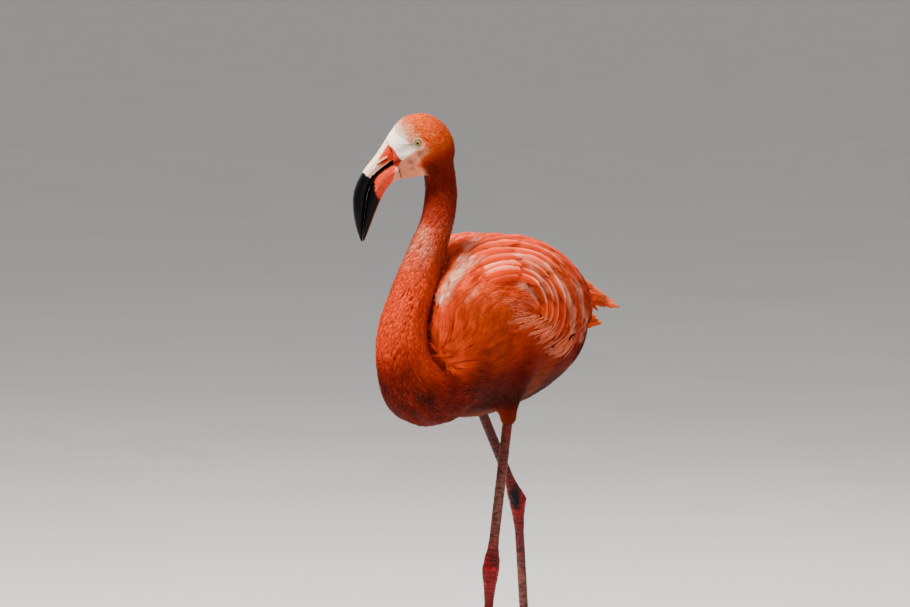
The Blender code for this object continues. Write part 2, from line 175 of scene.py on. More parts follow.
def new_object(name: str, mesh: Mesh, material: Material | None = None) -> Object:
    """Links a mesh as a named object.

    Args:
        name: The object's name.
        mesh: Its mesh.
        material: Its finish.

    Returns:
        The object, at the origin.
    """
    obj = bpy.data.objects.new(name, mesh)
    bpy.context.scene.collection.objects.link(obj)
    if material:
        mesh.materials.clear()
        mesh.materials.append(material)
    return obj


def mesh_of(bm: BMesh, name: str) -> Mesh:
    """Turns a bmesh into a mesh.

    Args:
        bm: The shape. It is freed.
        name: The mesh's name.

    Returns:
        The mesh.
    """
    mesh = bpy.data.meshes.new(name)
    bm.to_mesh(mesh)
    bm.free()
    return mesh


def mesh_from_arrays(name: str, points: Array, faces: Array) -> Mesh:
    """A mesh of joined pieces, all with faces of one size.

    Args:
        name: The mesh's name.
        points: Its points, a row each.
        faces: The points of each face, a row each.

    Returns:
        The mesh, shaded smooth.
    """
    mesh = bpy.data.meshes.new(name)
    size = faces.shape[1]
    mesh.vertices.add(len(points))
    mesh.vertices.foreach_set("co", np.ascontiguousarray(points, np.float32).ravel())
    mesh.loops.add(faces.size)
    mesh.loops.foreach_set("vertex_index", faces.astype(np.int32).ravel())
    mesh.polygons.add(len(faces))
    mesh.polygons.foreach_set("loop_start", np.arange(0, faces.size, size, dtype=np.int32))
    mesh.update(calc_edges=True)
    mesh.validate()
    mesh.shade_smooth()
    return mesh


def put_values(mesh: Mesh, name: str, values: Array) -> None:
    """Stores a number, vector or colour for each point of a mesh.

    Args:
        mesh: The mesh.
        name: The attribute's name.
        values: A row for each point, whose width says which kind it is.
    """
    kinds = {1: ("FLOAT", "value"), 3: ("FLOAT_VECTOR", "vector"), 4: ("FLOAT_COLOR", "color")}
    kind, slot = kinds[values.shape[1]]
    layer = mesh.attributes.new(name, kind, "POINT")
    layer.data.foreach_set(slot, np.ascontiguousarray(values, np.float32).ravel())


def put_tint(mesh: Mesh, tint: Array) -> None:
    """Stores rows of red, green and blue as the mesh's tint."""
    put_values(mesh, "tint", np.column_stack([tint, np.ones(len(tint))]))


def points_of(mesh: Mesh) -> Array:
    """A mesh's points.

    Args:
        mesh: The mesh.

    Returns:
        A row for each point.
    """
    out = np.empty(len(mesh.vertices) * 3, np.float32)
    mesh.vertices.foreach_get("co", out)
    return out.reshape(-1, 3).astype(float)


def welded_copy(nodes: Sequence[str], grow: float) -> BMesh:
    """Copies CAD nodes into one bmesh, with their doubles merged.

    Args:
        nodes: The nodes' names.
        grow: How far each is moved out, so that neighbours overlap.

    Returns:
        The copies' closed shells.
    """
    joined = bmesh.new()
    for node in nodes:
        part = bmesh.new()
        part.from_mesh(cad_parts[node].data)
        bmesh.ops.remove_doubles(part, verts=part.verts, dist=1e-6)
        part.normal_update()
        moves = [vert.normal * grow for vert in part.verts]
        for vert, move in zip(part.verts, moves):
            vert.co += move
        copied = mesh_of(part, node + "_copy")
        joined.from_mesh(copied)
        bpy.data.meshes.remove(copied)
    return joined


def remeshed(bm: BMesh, voxel: float) -> tuple[Array, Array]:
    """Melts overlapping closed shells into one even surface of four-sided faces.

    Args:
        bm: The shells. It is freed.
        voxel: The size of a face.

    Returns:
        The points and faces of the largest connected surface.
    """
    obj = new_object("melt", mesh_of(bm, "melt"))
    melt = obj.modifiers.new("Melt", "REMESH")
    melt.mode = "VOXEL"
    melt.voxel_size = voxel
    graph = bpy.context.evaluated_depsgraph_get()
    result = bpy.data.meshes.new_from_object(obj.evaluated_get(graph))
    bpy.data.objects.remove(obj)
    points = points_of(result)
    faces = np.empty(len(result.polygons) * 4, np.int32)
    result.loops.foreach_get("vertex_index", faces)
    faces = faces.reshape(-1, 4)
    keep = largest_island(len(points), faces)
    fresh = np.cumsum(keep) - 1
    faces = fresh[faces[keep[faces[:, 0]]]]
    bpy.data.meshes.remove(result)
    return points[keep], faces


def largest_island(count: int, faces: Array) -> Array:
    """Finds the largest connected surface.

    Args:
        count: How many points there are.
        faces: The points of each face.

    Returns:
        A mark for each point, true where it belongs to that surface.
    """
    group = np.arange(count)
    pairs = np.vstack([faces[:, [0, 1]], faces[:, [1, 2]], faces[:, [2, 3]]])
    while True:
        low = np.minimum(group[pairs[:, 0]], group[pairs[:, 1]])
        fresh = group.copy()
        np.minimum.at(fresh, pairs[:, 0], low)
        np.minimum.at(fresh, pairs[:, 1], low)
        fresh = fresh[fresh]
        if np.array_equal(fresh, group):
            break
        group = fresh
    names, sizes = np.unique(group, return_counts=True)
    return group == names[np.argmax(sizes)]


@dataclass
class Surface:
    """An even closed surface, with what smoothing and looking up places on it need."""

    points: Array
    faces: Array
    normals: Array = field(init=False)
    edges: Array = field(init=False)
    valence: Array = field(init=False)

    def __post_init__(self) -> None:
        """Lists the surface's edges and counts them at each point."""
        pairs = np.vstack([np.roll(self.faces, -k, axis=1)[:, :2] for k in range(4)])
        self.edges = np.unique(np.sort(pairs, axis=1), axis=0)
        self.valence = np.bincount(self.edges.ravel(), minlength=len(self.points))[:, None]
        self.refresh()

    def refresh(self) -> None:
        """Works out the points' normals again."""
        a, b, c, d = (self.points[self.faces[:, k]] for k in range(4))
        across = np.cross(c - a, d - b)
        total = np.zeros_like(self.points)
        for k in range(4):
            for axis in range(3):
                total[:, axis] += np.bincount(self.faces[:, k], across[:, axis], len(self.points))
        self.normals = unit(total)

    def spread(self, values: Array) -> Array:
        """Averages over each point's neighbours.

        Args:
            values: A row for each point.

        Returns:
            The neighbours' mean row for each point.
        """
        first, second = self.edges.T
        total = np.empty_like(values)
        for k in range(values.shape[1]):
            total[:, k] = np.bincount(first, values[second, k], len(values))
            total[:, k] += np.bincount(second, values[first, k], len(values))
        return total / self.valence

    def soften(self, values: Array, times: int) -> Array:
        """Diffuses values over the surface.

        Args:
            values: A row for each point.
            times: How often each takes up half of its neighbours' mean.

        Returns:
            The softened rows.
        """
        for _ in range(times):
            values = 0.5 * values + 0.5 * self.spread(values)
        return values

    def smooth(self, times: int, weight: Array | float = 1.0) -> None:
        """Smooths the shape without shrinking it.

        Args:
            times: How often.
            weight: How much each point takes part, from 0 to 1.
        """
        for _ in range(times):
            for step in (0.50, -0.52):
                self.points = self.points + step * weight * (self.spread(self.points) - self.points)
        self.refresh()

    def tree(self) -> KDTree:
        """Builds a search tree over the points.

        Returns:
            The tree, which gives a point's place, number and distance.
        """
        found = KDTree(len(self.points))
        for i, point in enumerate(self.points):
            found.insert(point, i)
        found.balance()
        return found

    def mesh(self, name: str, depth: Array | float = 0.0) -> Mesh:
        """The surface as a mesh, sunk by a depth at each point."""
        return mesh_from_arrays(name, self.points - self.normals * depth, self.faces)


def node_labels(points: Array, nodes: Sequence[str]) -> Array:
    """Finds the CAD node whose surface is nearest to each point.

    Args:
        points: Rows of the frame.
        nodes: The nodes' names.

    Returns:
        The number of each point's node in that list.
    """
    best = np.full(len(points), np.inf)
    label = np.zeros(len(points), int)
    for k, node in enumerate(nodes):
        low, high = (np.array(corner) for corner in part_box(node))
        near = norm(np.maximum(0, np.maximum(low - points, points - high)), axis=1) < LABEL_REACH
        bm = welded_copy((node,), 0.0)
        shell = BVHTree.FromBMesh(bm)
        bm.free()
        for i in np.flatnonzero(near):
            distance = shell.find_nearest(points[i])[3]
            if distance < best[i]:
                best[i], label[i] = distance, k
    return label


# ------------ the body's surface and its feathers' lie


@dataclass
class Body:
    """The feathered body's outer surface, its regions, its coat's depth and which way its feathers lie."""

    voxel: float = 0.0029
    whorl: tuple[float, float] = (-0.078, 0.600)  # what the wing's feathers turn about: along Y, height
    whorl_stretch: float = 0.545
    tail_thins: float = 0.225  # where the skin of the tail starts to thin out, along Y
    depths: dict[str, float] = field(default_factory=lambda: {
        "head": 0.0008, "neck_upper": 0.0022, "neck_middle": 0.0026, "neck_lower": 0.0034,
        "trunk": 0.0042, "tail": 0.0075, **dict.fromkeys(WINGS, 0.0048), **dict.fromkeys(THIGHS, 0.0030),
    })

    def __post_init__(self) -> None:
        """Melts the solids into one skin, shapes it and combs its feathers' lie."""
        points, faces = remeshed(welded_copy(FLESH, 0.0007), self.voxel)
        self.surface = Surface(points, faces)
        self.label = node_labels(points, FLESH)
        fine = np.isin(self.label, [FLESH.index("head"), FLESH.index("tail")])
        weight = self.surface.soften(np.where(fine, 0.0, 1.0)[:, None], 6)
        self.surface.smooth(6)
        self.surface.smooth(34, weight)
        self.ease_joins()
        depth = np.array([self.depths[name] for name in FLESH])[self.label][:, None]
        self.depth = self.surface.soften(depth, 12)
        self.neck = self.neck_points()
        self.lie = self.lie_field()
        self.search = self.surface.tree()
        log.info("body surface: %d points", len(points))

    def ease_joins(self) -> None:
        """Fills the nape, sinks the thighs into the flanks and shapes the breast, the rump and the tail."""
        surface = self.surface
        behind = HEAD.local(surface.points)[:, 0] < 0.004
        local = surface.points - np.array(BODY_ORIGIN)
        folded = np.column_stack([np.abs(local[:, 0]), local[:, 1:]])  # both sides laid on the left one
        thighs, trunk, level = self.is_on(*THIGHS), self.is_on("trunk"), leg_level(local)
        outwards = np.column_stack([np.sign(local[:, 0]), np.zeros((len(local), 2))])
        sunk = (thighs * ramp(level, 0.480, 0.520))[:, None] * 0.008
        slim = (thighs * ramp(-level, -0.484, -0.458))[:, None] * 0.0046
        moved = surface.points - outwards * sunk - surface.normals * slim * np.array([1, 1, 0])
        front = spot(folded, (0.028, -0.140, 0.600), (0.024, 0.030, 0.07)) * trunk
        push = front[:, None] * (outwards * 0.009 - np.array([0.0, 0.012, 0.0]))
        edge = spot(folded, (0.044, -0.165, 0.562), (0.026, 0.034, 0.040)) * trunk
        push = push + edge[:, None] * (outwards * 0.009 - np.array([0.0, 0.016, 0.0]))
        foot = spot(folded, (0.042, -0.182, 0.545), (0.024, 0.034, 0.034)) * self.is_on("neck_lower")
        surface.points = moved + (push - foot[:, None] * outwards * 0.007)
        nape = self.is_on("head", "neck_upper") & behind & (local[:, 2] > 0.752)
        for mask, spread, times in ((nape, 3, 34), (thighs & (level > 0.487), 14, 100)):
            weight = np.clip(surface.soften(mask[:, None] * 1.0, spread) * 1.6, 0, 0.9)
            for _ in range(times):
                away = surface.spread(surface.points) - surface.points
                surface.points = surface.points + 0.5 * weight * away
        surface.refresh()
        self.shape_rear()

    def shape_rear(self) -> None:
        """Narrows and shortens the tail's end, which its feathers hide, and draws in the rump beside it."""
        surface, tail = self.surface, self.is_on("tail")
        local = surface.points - np.array(BODY_ORIGIN)
        end = tail * ramp(local[:, 1], self.tail_thins, 0.289)
        slope = (local[:, 1] - 0.150)[:, None] * np.array([0.0, 1.0, -0.165])
        middle = np.array([0.0, 0.0, 0.6125]) + slope + np.array([0.0, 0.150, 0.0])
        surface.points = surface.points + (middle - local) * (end * 0.55)[:, None] * np.array([1, 0, 1])
        surface.points[:, 1] -= tail * np.maximum(local[:, 1] - self.tail_thins, 0) * 0.40
        folded = np.column_stack([np.abs(local[:, 0]), local[:, 1:]])
        rear = (spot(folded, (0.045, 0.190, 0.605), (0.06, 0.06, 0.05)) * ~tail)[:, None]
        inwards = np.zeros_like(local)
        inwards[:, 0], inwards[:, 1] = np.sign(local[:, 0]) * 0.009, 0.018
        surface.points = surface.points - rear * inwards
        surface.refresh()

    def is_on(self, *names: str) -> Array:
        """Marks the surface's points that lie on the named nodes."""
        return np.isin(self.label, [FLESH.index(name) for name in names])

    def neck_points(self) -> Array:
        """The neck's middle line.

        Returns:
            Rows of the frame, from the breast to the skull.
        """
        rows = smooth_line(NECK_LINE, 80)
        lean = np.clip((rows[:, 1] - 0.70) / 0.10, 0, 1) ** 2 * (HEAD.middle.x - BODY_ORIGIN.x)
        return np.column_stack([lean, rows]) + np.array(BODY_ORIGIN)

    def spine_places(self, points: Array, label: Array) -> tuple[Array, Array]:
        """Where points are on an unwrap of the body along its spine.

        Args:
            points: Rows of the frame.
            label: The numbers of their regions.

        Returns:
            A share along head, neck, trunk and tail from 0 to 1, and a turn round that line from 0 to 1.
        """
        local = points - np.array(BODY_ORIGIN)
        _, place = self.near_neck(points)
        neck = np.isin(label, [FLESH.index(name) for name in NECK])
        head = label == FLESH.index("head")
        share = 0.50 + 0.50 * np.clip((local[:, 1] + 0.16) / 0.46, 0, 1)
        share = np.where(neck, 0.12 + 0.38 * (1 - place / (len(self.neck) - 1)), share)
        share = np.where(head, 0.12 * (1 - np.clip((HEAD.local(points)[:, 0] + 0.035) / 0.08, 0, 1)), share)
        off = local - np.array((0, 0, 0.588))
        off = np.where(neck[:, None], points - self.neck[place], off)
        off = np.where(head[:, None], points - np.array(HEAD.middle), off)
        upright = head | (neck & (place > 25))
        around = np.arctan2(off[:, 0], np.where(upright, off[:, 1], off[:, 2]))
        return share, around / (2 * math.pi) + 0.5

    def near_neck(self, points: Array) -> tuple[Array, Array]:
        """Finds the nearest place on the neck's line.

        Args:
            points: Rows of the frame.

        Returns:
            The distance to it, and its number along the line.
        """
        best = np.full(len(points), np.inf)
        place = np.zeros(len(points), int)
        for k, middle in enumerate(self.neck):
            distance = norm(points - middle, axis=1)
            closer = distance < best
            best[closer], place[closer] = distance[closer], k
        return best, place

    def lie_field(self) -> Array:
        """Which way the feathers point.

        Returns:
            A direction along the surface for each of its points.
        """
        points = self.surface.points
        local = points - np.array(BODY_ORIGIN)
        side = np.tanh(local[:, 0] / 0.02)
        y, z = local[:, 1], local[:, 2]
        lie = np.tile([0.0, 1.0, 0.0], (len(points), 1))
        rise = 0.10 + 0.50 * ramp(z, 0.515, 0.575) - 2.2 * np.clip(y - 0.02, 0, 0.2)
        lie[:, 2] = np.where(z < self.whorl[1] + 0.01, rise, -0.1)

        over, back = z - self.whorl[1], y - self.whorl[0]
        turn = np.column_stack([side * 0.8 * np.clip(back, 0, 0.2), over / self.whorl_stretch,
                                -back * self.whorl_stretch])
        reach = over + 0.55 * np.clip(y, 0, 0.12)
        strength = (ramp(reach, -0.030, 0.012) * self.is_on("trunk", *WINGS))[:, None]
        lie = (1 - strength) * lie + strength * unit(turn)

        _, place = self.near_neck(points)
        along = unit(np.gradient(self.neck, axis=0))
        neck = self.is_on("neck_lower", "neck_middle", "neck_upper")
        lie[neck] = -along[place[neck]]
        head = self.is_on("head")
        rows = HEAD.local(points)
        down = ramp(-rows[:, 0], -0.010, 0.030)[:, None]
        lie[head] = (-np.array(HEAD.forward) * (1.1 - down) - np.array(UP) * (0.12 + down))[head]
        for name in SIDES:
            thigh = self.is_on(f"thigh_{name}")
            axis = (box_middle(f"ankle_{name}") - box_middle(f"thigh_{name}")).normalized()
            down = ramp(-z[thigh], -0.545, -0.485)[:, None]
            lie[thigh] = lie[thigh] * (1 - down) + (np.array(axis) + np.array([0, 0.2, 0])) * down
        lie[self.is_on("tail")] = (0.0, 1.0, -0.17)
        for _ in range(14):
            lie = self.surface.soften(lie, 1)
            lie = unit(lie - self.surface.normals * np.sum(lie * self.surface.normals, axis=1)[:, None])
        return lie

    def scatter(self, mask: Array, spacing: Array, seed: int) -> tuple[Array, Array]:
        """Spreads feather roots evenly but without rows.

        Args:
            mask: The points of the surface that take part.
            spacing: How far apart the roots are, at each point.
            seed: For the random numbers.

        Returns:
            The roots' places, and the surface's point nearest to each.
        """
        rng = np.random.default_rng(seed)
        faces = self.surface.faces[mask[self.surface.faces].all(axis=1)]
        corners = self.surface.points[faces]
        a, b, c, d = (corners[:, k] for k in range(4))
        area = norm(np.cross(c - a, d - b), axis=1) / 2
        share = area / spacing[faces].mean(axis=1) ** 2
        count = int(share.sum() * 4.5)
        pick = rng.choice(len(faces), count, p=share / share.sum())
        u, v = rng.random((2, count, 1))
        tries = (a[pick] * (1 - u) + b[pick] * u) * (1 - v) + (d[pick] * (1 - u) + c[pick] * u) * v
        near = faces[pick, rng.integers(0, 4, count)]
        cell = float(spacing[mask].max())
        taken: dict[tuple[int, ...], list[list[float]]] = {}
        kept = []
        for i, (root, key) in enumerate(zip(tries.tolist(), np.floor(tries / cell).astype(int).tolist())):
            least = float(spacing[near[i]]) ** 2
            if any(sum((p - q) ** 2 for p, q in zip(root, other)) < least
                   for dx in (-1, 0, 1) for dy in (-1, 0, 1) for dz in (-1, 0, 1)
                   for other in taken.get((key[0] + dx, key[1] + dy, key[2] + dz), ())):
                continue
            taken.setdefault(tuple(key), []).append(root)
            kept.append(i)
        return tries[kept], near[kept]

    def paths(self, roots: Array, lengths: Array, steps: int, turn: Array) -> tuple[Array, Array]:
        """Lays feathers along the surface.

        Args:
            roots: Where each starts.
            lengths: How long each is.
            steps: How many lengths each path has.
            turn: How far each is turned from the lie, in radians.

        Returns:
            The paths' points and the surface's normals there, feather by feather.
        """
        spots = np.empty((len(roots), steps + 1, 3))
        normals = np.empty_like(spots)
        at = roots.copy()
        for k in range(steps + 1):
            near = np.array([self.search.find(point)[1] for point in at])
            normal = self.surface.normals[near]
            off = np.sum((at - self.surface.points[near]) * normal, axis=1)[:, None]
            at = at - normal * off
            spots[:, k], normals[:, k] = at, normal
            way = self.lie[near]
            way = unit(way - normal * np.sum(way * normal, axis=1)[:, None])
            across = np.cross(normal, way)
            step = way * np.cos(turn)[:, None] + across * np.sin(turn)[:, None]
            at = at + step * (lengths / steps)[:, None]
        return spots, normals


# ------------ colours of the plumage

# DEEP is also the plumage's own darker red; the crimson and the near black are laid only as painted shade
ORANGE: Colour = (0.70, 0.046, 0.0008)
VIVID: Colour = (0.80, 0.045, 0.0003)
DEEP: Colour = (0.32, 0.0105, 0.0008)
SHADE_CRIMSON: Colour = (0.062, 0.0013, 0.0011)
SALMON: Colour = (0.90, 0.155, 0.020)
SHADOW_BLACK: Colour = (0.030, 0.0004, 0.0004)
HORN_EDGE: Colour = (0.40, 0.015, 0.0010)


def mix(first: Array, second: Colour | Array, share: Array) -> Array:
    """Blends rows of colour towards another by a share for each row."""
    return first + (np.asarray(second) - first) * np.clip(share, 0, 1)[:, None]


def spot(points: Array, place: Sequence[float], size: Sequence[float]) -> Array:
    """A soft round patch, 1 at its middle and near 0 a size and a half away."""
    off = (points - np.array(place)) / np.array(size)
    return np.exp(-np.sum(off * off, axis=1) * 1.2)


def waves(points: Array, size: float, seed: int) -> Array:
    """A soft uneven pattern over space, about -1 to 1.

    Args:
        points: Where it is wanted.
        size: How wide its patches are.
        seed: Picks the pattern.

    Returns:
        A value for each point.
    """
    rng = np.random.default_rng(seed)
    total = np.zeros(len(points))
    for _ in range(7):
        way = rng.normal(size=3)
        way *= 2 * math.pi / (size * rng.uniform(1.2, 2.8) * norm(way))
        total += np.sin(points @ way + rng.uniform(0, 6.3))
    return total / 3.4


def quarter_view(local: Array) -> Array:
    """Lays either side of the bird flat, as it is seen from the front quarter.

    Args:
        local: Rows of (left, towards the tail, height) from the body's place.

    Returns:
        Rows of metres (towards the tail, up).
    """
    out, back, high = np.abs(local[:, 0]), local[:, 1], local[:, 2]
    ahead = 0.8387 * back - 0.5446 * out
    return np.column_stack([0.8387 * out + 0.5446 * back, 0.9959 * high + 0.0906 * ahead])


def strokes(places: Array, lines: Rows) -> Array:
    """How much each place lies on soft-edged strokes.

    Args:
        places: Rows of (towards the tail, up).
        lines: For each stroke its two ends, its half width and its strength.

    Returns:
        The strongest share at each place.
    """
    share = np.zeros(len(places))
    for x0, y0, x1, y1, half, strength in lines:
        start, way = np.array((x0, y0)), np.array((x1 - x0, y1 - y0))
        at = np.clip((places - start) @ way / (way @ way), 0, 1)
        far = norm(places - start - at[:, None] * way, axis=1)
        share = np.maximum(share, strength * (1 - ramp(far, half * 0.35, half * 1.3)))
    return share


# the legs' lines from the knee to the ankle and the foot's joint: the left one's, then the right one's
LEG_LINES = (
    ((0.058, -0.018, 0.605), (0.045, -0.062, 0.302), (0.040, -0.082, 0.014)),
    ((-0.058, -0.016, 0.605), (-0.045, 0.139, 0.357), (-0.040, 0.163, 0.058)),
)
# pale strokes over the shoulder and along the folded wing: two ends, half width, strength
BLUSH = (
    (-0.0527, 0.6098, -0.0460, 0.6273, 0.0085, 0.95), (-0.0460, 0.6273, -0.0217, 0.6570, 0.0085, 0.95),
    (-0.0379, 0.6516, -0.0109, 0.6840, 0.0032, 0.80), (-0.0298, 0.6732, -0.0190, 0.6800, 0.0026, 0.50),
    (-0.0244, 0.6084, -0.0109, 0.6246, 0.0030, 0.50), (-0.0217, 0.6500, -0.0060, 0.6590, 0.0036, 0.60),
    (0.0350, 0.6638, 0.0647, 0.6516, 0.0036, 0.60), (0.0404, 0.6300, 0.0566, 0.6138, 0.0040, 0.70),
    (0.0512, 0.6489, 0.0782, 0.6138, 0.0038, 0.60), (0.0701, 0.6516, 0.0971, 0.6138, 0.0042, 0.65),
    (0.0971, 0.6138, 0.1025, 0.5733, 0.0040, 0.60), (0.1079, 0.6273, 0.1174, 0.5868, 0.0036, 0.65),
    (0.1174, 0.5868, 0.1133, 0.5625, 0.0032, 0.55),
)


def base_line(up: Array) -> Array:
    """How far along the head the upper bill's horn ends, at each height."""
    return np.interp(up, (-0.0060, 0.0, 0.0060, 0.0130, 0.0190), (0.0300, 0.0318, 0.0333, 0.0350, 0.0406))


def jaw_line(up: Array) -> Array:
    """How far along the head the lower bill's horn ends, at each height."""
    heights = (-0.0300, -0.0232, -0.0172, -0.0110, -0.0060)
    return np.interp(up, heights, (0.0520, 0.0464, 0.0413, 0.0357, 0.0302))


def leg_level(local: Array) -> Array:
    """Heights on the legs as if both hung like the left one, since the right one's parts lie higher."""
    return np.where(local[:, 0] > 0, local[:, 2], 0.605 - (0.605 - local[:, 2]) * 1.222)


def leg_share(local: Array) -> Array:
    """How much each place belongs to the feathered root of a leg.

    Args:
        local: Rows of (left, towards the tail, height) from the body's place.

    Returns:
        A share for each row.
    """
    share = np.zeros(len(local))
    for knee, ankle, _ in LEG_LINES:
        start, way = np.array(knee), np.array(ankle) - np.array(knee)
        part = np.clip((local - start) @ way / (way @ way), 0, 1)
        near = norm(local - start - part[:, None] * way, axis=1)
        own_side = (local[:, 0] > 0) == (start[0] > 0)
        share = np.maximum(share, own_side * (1 - ramp(near, 0.010, 0.024)))
    return share * ramp(-local[:, 2], -0.500, -0.472)


@dataclass(frozen=True)
class Places:
    """Points of the coat with what their colours go by."""

    local: Array  # rows of (left, towards the tail, height) from the body's place
    rows: Array  # rows of (forward, out, up) of the head
    label: Array  # the numbers of their regions

    def on(self, *names: str) -> Array:
        """Marks the points of the named regions."""
        return np.isin(self.label, [FLESH.index(name) for name in names])


Layers = list[tuple[Colour, Array]]  # colours with a share for each point, the first to be laid first


def body_layers(at: Places) -> Layers:
    """The body's colours: painted light makes it bright above and on the breast's front, painted shade
    makes it crimson and near black below.

    Args:
        at: The points.

    Returns:
        The layers.
    """
    local, flat = at.local, quarter_view(at.local)
    _, y, z = local.T
    u = flat[:, 0]
    neck, head, wing = at.on(*NECK), at.on("head"), at.on(*WINGS)
    body = ~(neck | head)
    leg = leg_share(local) * body
    # low marks where painted shade is laid below: the body apart from the legs' roots, and the lower neck
    low = body * (1 - leg) + neck * (z < 0.63)
    # painted light on the breast's front, which also holds back the painted shade there
    breast_light = ramp(u, -0.095, -0.068) * (1 - ramp(u, -0.040, -0.004)) * ramp(z, 0.508, 0.548)
    shade = z + 0.055 * breast_light
    shade = shade + 0.005 * waves(local, 0.02, 4)
    return [
        # painted shade: deep red, crimson and near black, darker towards the bottom
        (DEEP, low * ramp(-shade, -0.610, -0.550) * 0.90),
        (SHADE_CRIMSON, low * ramp(-shade, -0.582, -0.512) * 0.92),
        (SHADOW_BLACK, low * ramp(-shade, -0.535, -0.500) * 0.75),
        (SALMON, (body & ~wing) * spot(local, (0.03, -0.135, 0.60), (0.09, 0.06, 0.06)) * 0.15),
        # painted light: brighter orange on the top of the body and on the breast's front
        (VIVID, body * np.maximum(ramp(z, 0.585, 0.66) * 0.9, breast_light * ramp(z, 0.530, 0.560) * 0.6)),
        (DEEP, wing * spot(local, (0.09, 0.10, 0.625), (0.2, 0.045, 0.03)) * 0.7),
        # painted shade under the rear of the body
        (SHADE_CRIMSON, body * ramp(y, 0.05, 0.12) * ramp(-z, -0.570, -0.548) * 0.75),
        (DEEP, body * spot(flat, (0.030, 0.585), (0.045, 0.030)) * 0.35),
        (DEEP, body * spot(flat, (0.105, 0.600), (0.024, 0.050)) * 0.45),
        # painted shade: dark brown on the legs' feathered roots below the belly
        ((0.150, 0.0110, 0.0012), leg * 0.95),
        (SALMON, at.on("tail") * 0.25),
        (SALMON, body * ramp(waves(local, 0.045, 3), 0.2, 0.9) * 0.12),
    ]


def neck_fleck(at: Places) -> Array:
    """How much each point lies in the pale flecks round the middle of the neck, with fewer on the nape's
    side as painted shade.
    """
    nape = ramp(quarter_view(at.local)[:, 0], -0.074, -0.058)
    return at.on(*NECK) * np.exp(-((at.local[:, 2] - 0.693) / 0.024) ** 2) * (1 - 0.75 * nape)


def neck_layers(at: Places) -> Layers:
    """The neck's colours: deep at the top, as painted shadow under the head, and at the nape, as painted
    shade, flecked at its middle.

    Args:
        at: The points.

    Returns:
        The layers.
    """
    z, neck, mottle = at.local[:, 2], at.on(*NECK), waves(at.local, 0.010, 5)
    nape = ramp(quarter_view(at.local)[:, 0], -0.074, -0.058)
    return [
        (DEEP, neck * (0.25 + 0.20 * mottle)),
        # painted shadow of the head: deep red and crimson at the top of the neck
        (DEEP, neck * ramp(z, 0.694, 0.722) * 0.85),
        (SHADE_CRIMSON, neck * ramp(z, 0.708, 0.755) * 0.60),
        # painted shade on the nape's side, away from the light
        (DEEP, neck * nape * ramp(z, 0.650, 0.685) * 0.55),
        ((0.66, 0.24, 0.14), neck_fleck(at) * (0.40 + 0.40 * mottle)),
        (VIVID, neck * ramp(-z, -0.67, -0.63) * ramp(z, 0.54, 0.58) * 0.5),
    ]


def head_layers(at: Places) -> Layers:
    """The head's colours: orange crown, a dark nape and throat that are painted shade, white face, rosy
    cheek partly darkened by painted shade, painted shade along the gape's fold, and the horn's edge by the
    bill.

    Args:
        at: The points.

    Returns:
        The layers.
    """
    ahead, _, up = at.rows.T
    head, patches = at.on("head"), waves(at.local, 0.006, 16)
    border = ahead - 0.30 * (np.maximum(up, 0.0) - 0.015) + 0.0016 * waves(at.local, 0.007, 14)
    border = border - 0.012 * ramp(-up, 0.004, 0.016)
    face = head * ramp(border, 0.0090, 0.0200)
    cheek = ramp(-up - 0.25 * (ahead - 0.02), -0.0005, 0.0055)
    line = np.exp(-((up - 0.0080 - (ahead - 0.0143) * 0.33) / 0.0011) ** 2) * ramp(ahead, 0.006, 0.012)
    near_eye = np.hypot(ahead - HEAD.eye_forward - 0.0012, up - HEAD.eye_up)
    fold = np.exp(-((up + 0.0062 - (ahead - 0.030) * 0.20) / 0.0009) ** 2) * ramp(ahead, 0.020, 0.027)
    horn = head * ramp(ahead - base_line(up), -0.0006, 0.0006) * ramp(up, -0.0066, -0.0056)
    jaw = head * ramp(ahead - jaw_line(up), -0.0006, 0.0006) * ramp(-up, 0.0052, 0.0062)
    mouth = np.exp(-((up + 0.0057) / 0.0011) ** 2) * ramp(ahead, 0.0290, 0.0305)
    return [
        (SALMON, head * (0.50 + 0.25 * patches)),
        ((0.95, 0.105, 0.006), head * ramp(up, 0.006, 0.030) * 0.80),
        # painted shadow under the head: deep red and crimson below the chin
        (DEEP, head * ramp(-up, 0.000, 0.020) * ramp(-ahead, -0.022, 0.002) * 0.85),
        (SHADE_CRIMSON, head * ramp(-up, 0.010, 0.028) * ramp(-ahead, -0.024, -0.004) * 0.7),
        # painted shade on the back of the head
        (DEEP, head * ramp(-ahead, 0.004, 0.030) * 0.45),
        ((0.97, 0.46, 0.26), head * ramp(border, -0.003, 0.009) * (0.70 + 0.3 * patches)),
        # the cheek: its own rose colour, made darker as painted half shade
        ((0.97, 0.83, 0.69), face * (0.97 - (0.88 - 0.20 * patches) * cheek)),
        ((0.38, 0.095, 0.054), head * ramp(border, 0.002, 0.012) * cheek * (0.66 + 0.25 * patches)),
        ((0.56, 0.50, 0.42), face * ramp(-up, -0.012, -0.008) * (1 - cheek) * 0.45),
        ((0.20, 0.17, 0.12), head * line * ramp(-ahead, -0.036, -0.014) * 0.8),
        ((0.34, 0.31, 0.22), head * (1 - ramp(near_eye, 0.0050, 0.0085)) * 0.75),
        # painted shade along the gape's fold
        ((0.30, 0.22, 0.15), head * fold * 0.55),
        (HORN_EDGE, horn * ramp(-up, -0.0150, -0.0115) * 0.97),
        (HORN_EDGE, jaw),
        ((0.010, 0.004, 0.003), head * mouth * 0.95),
    ]


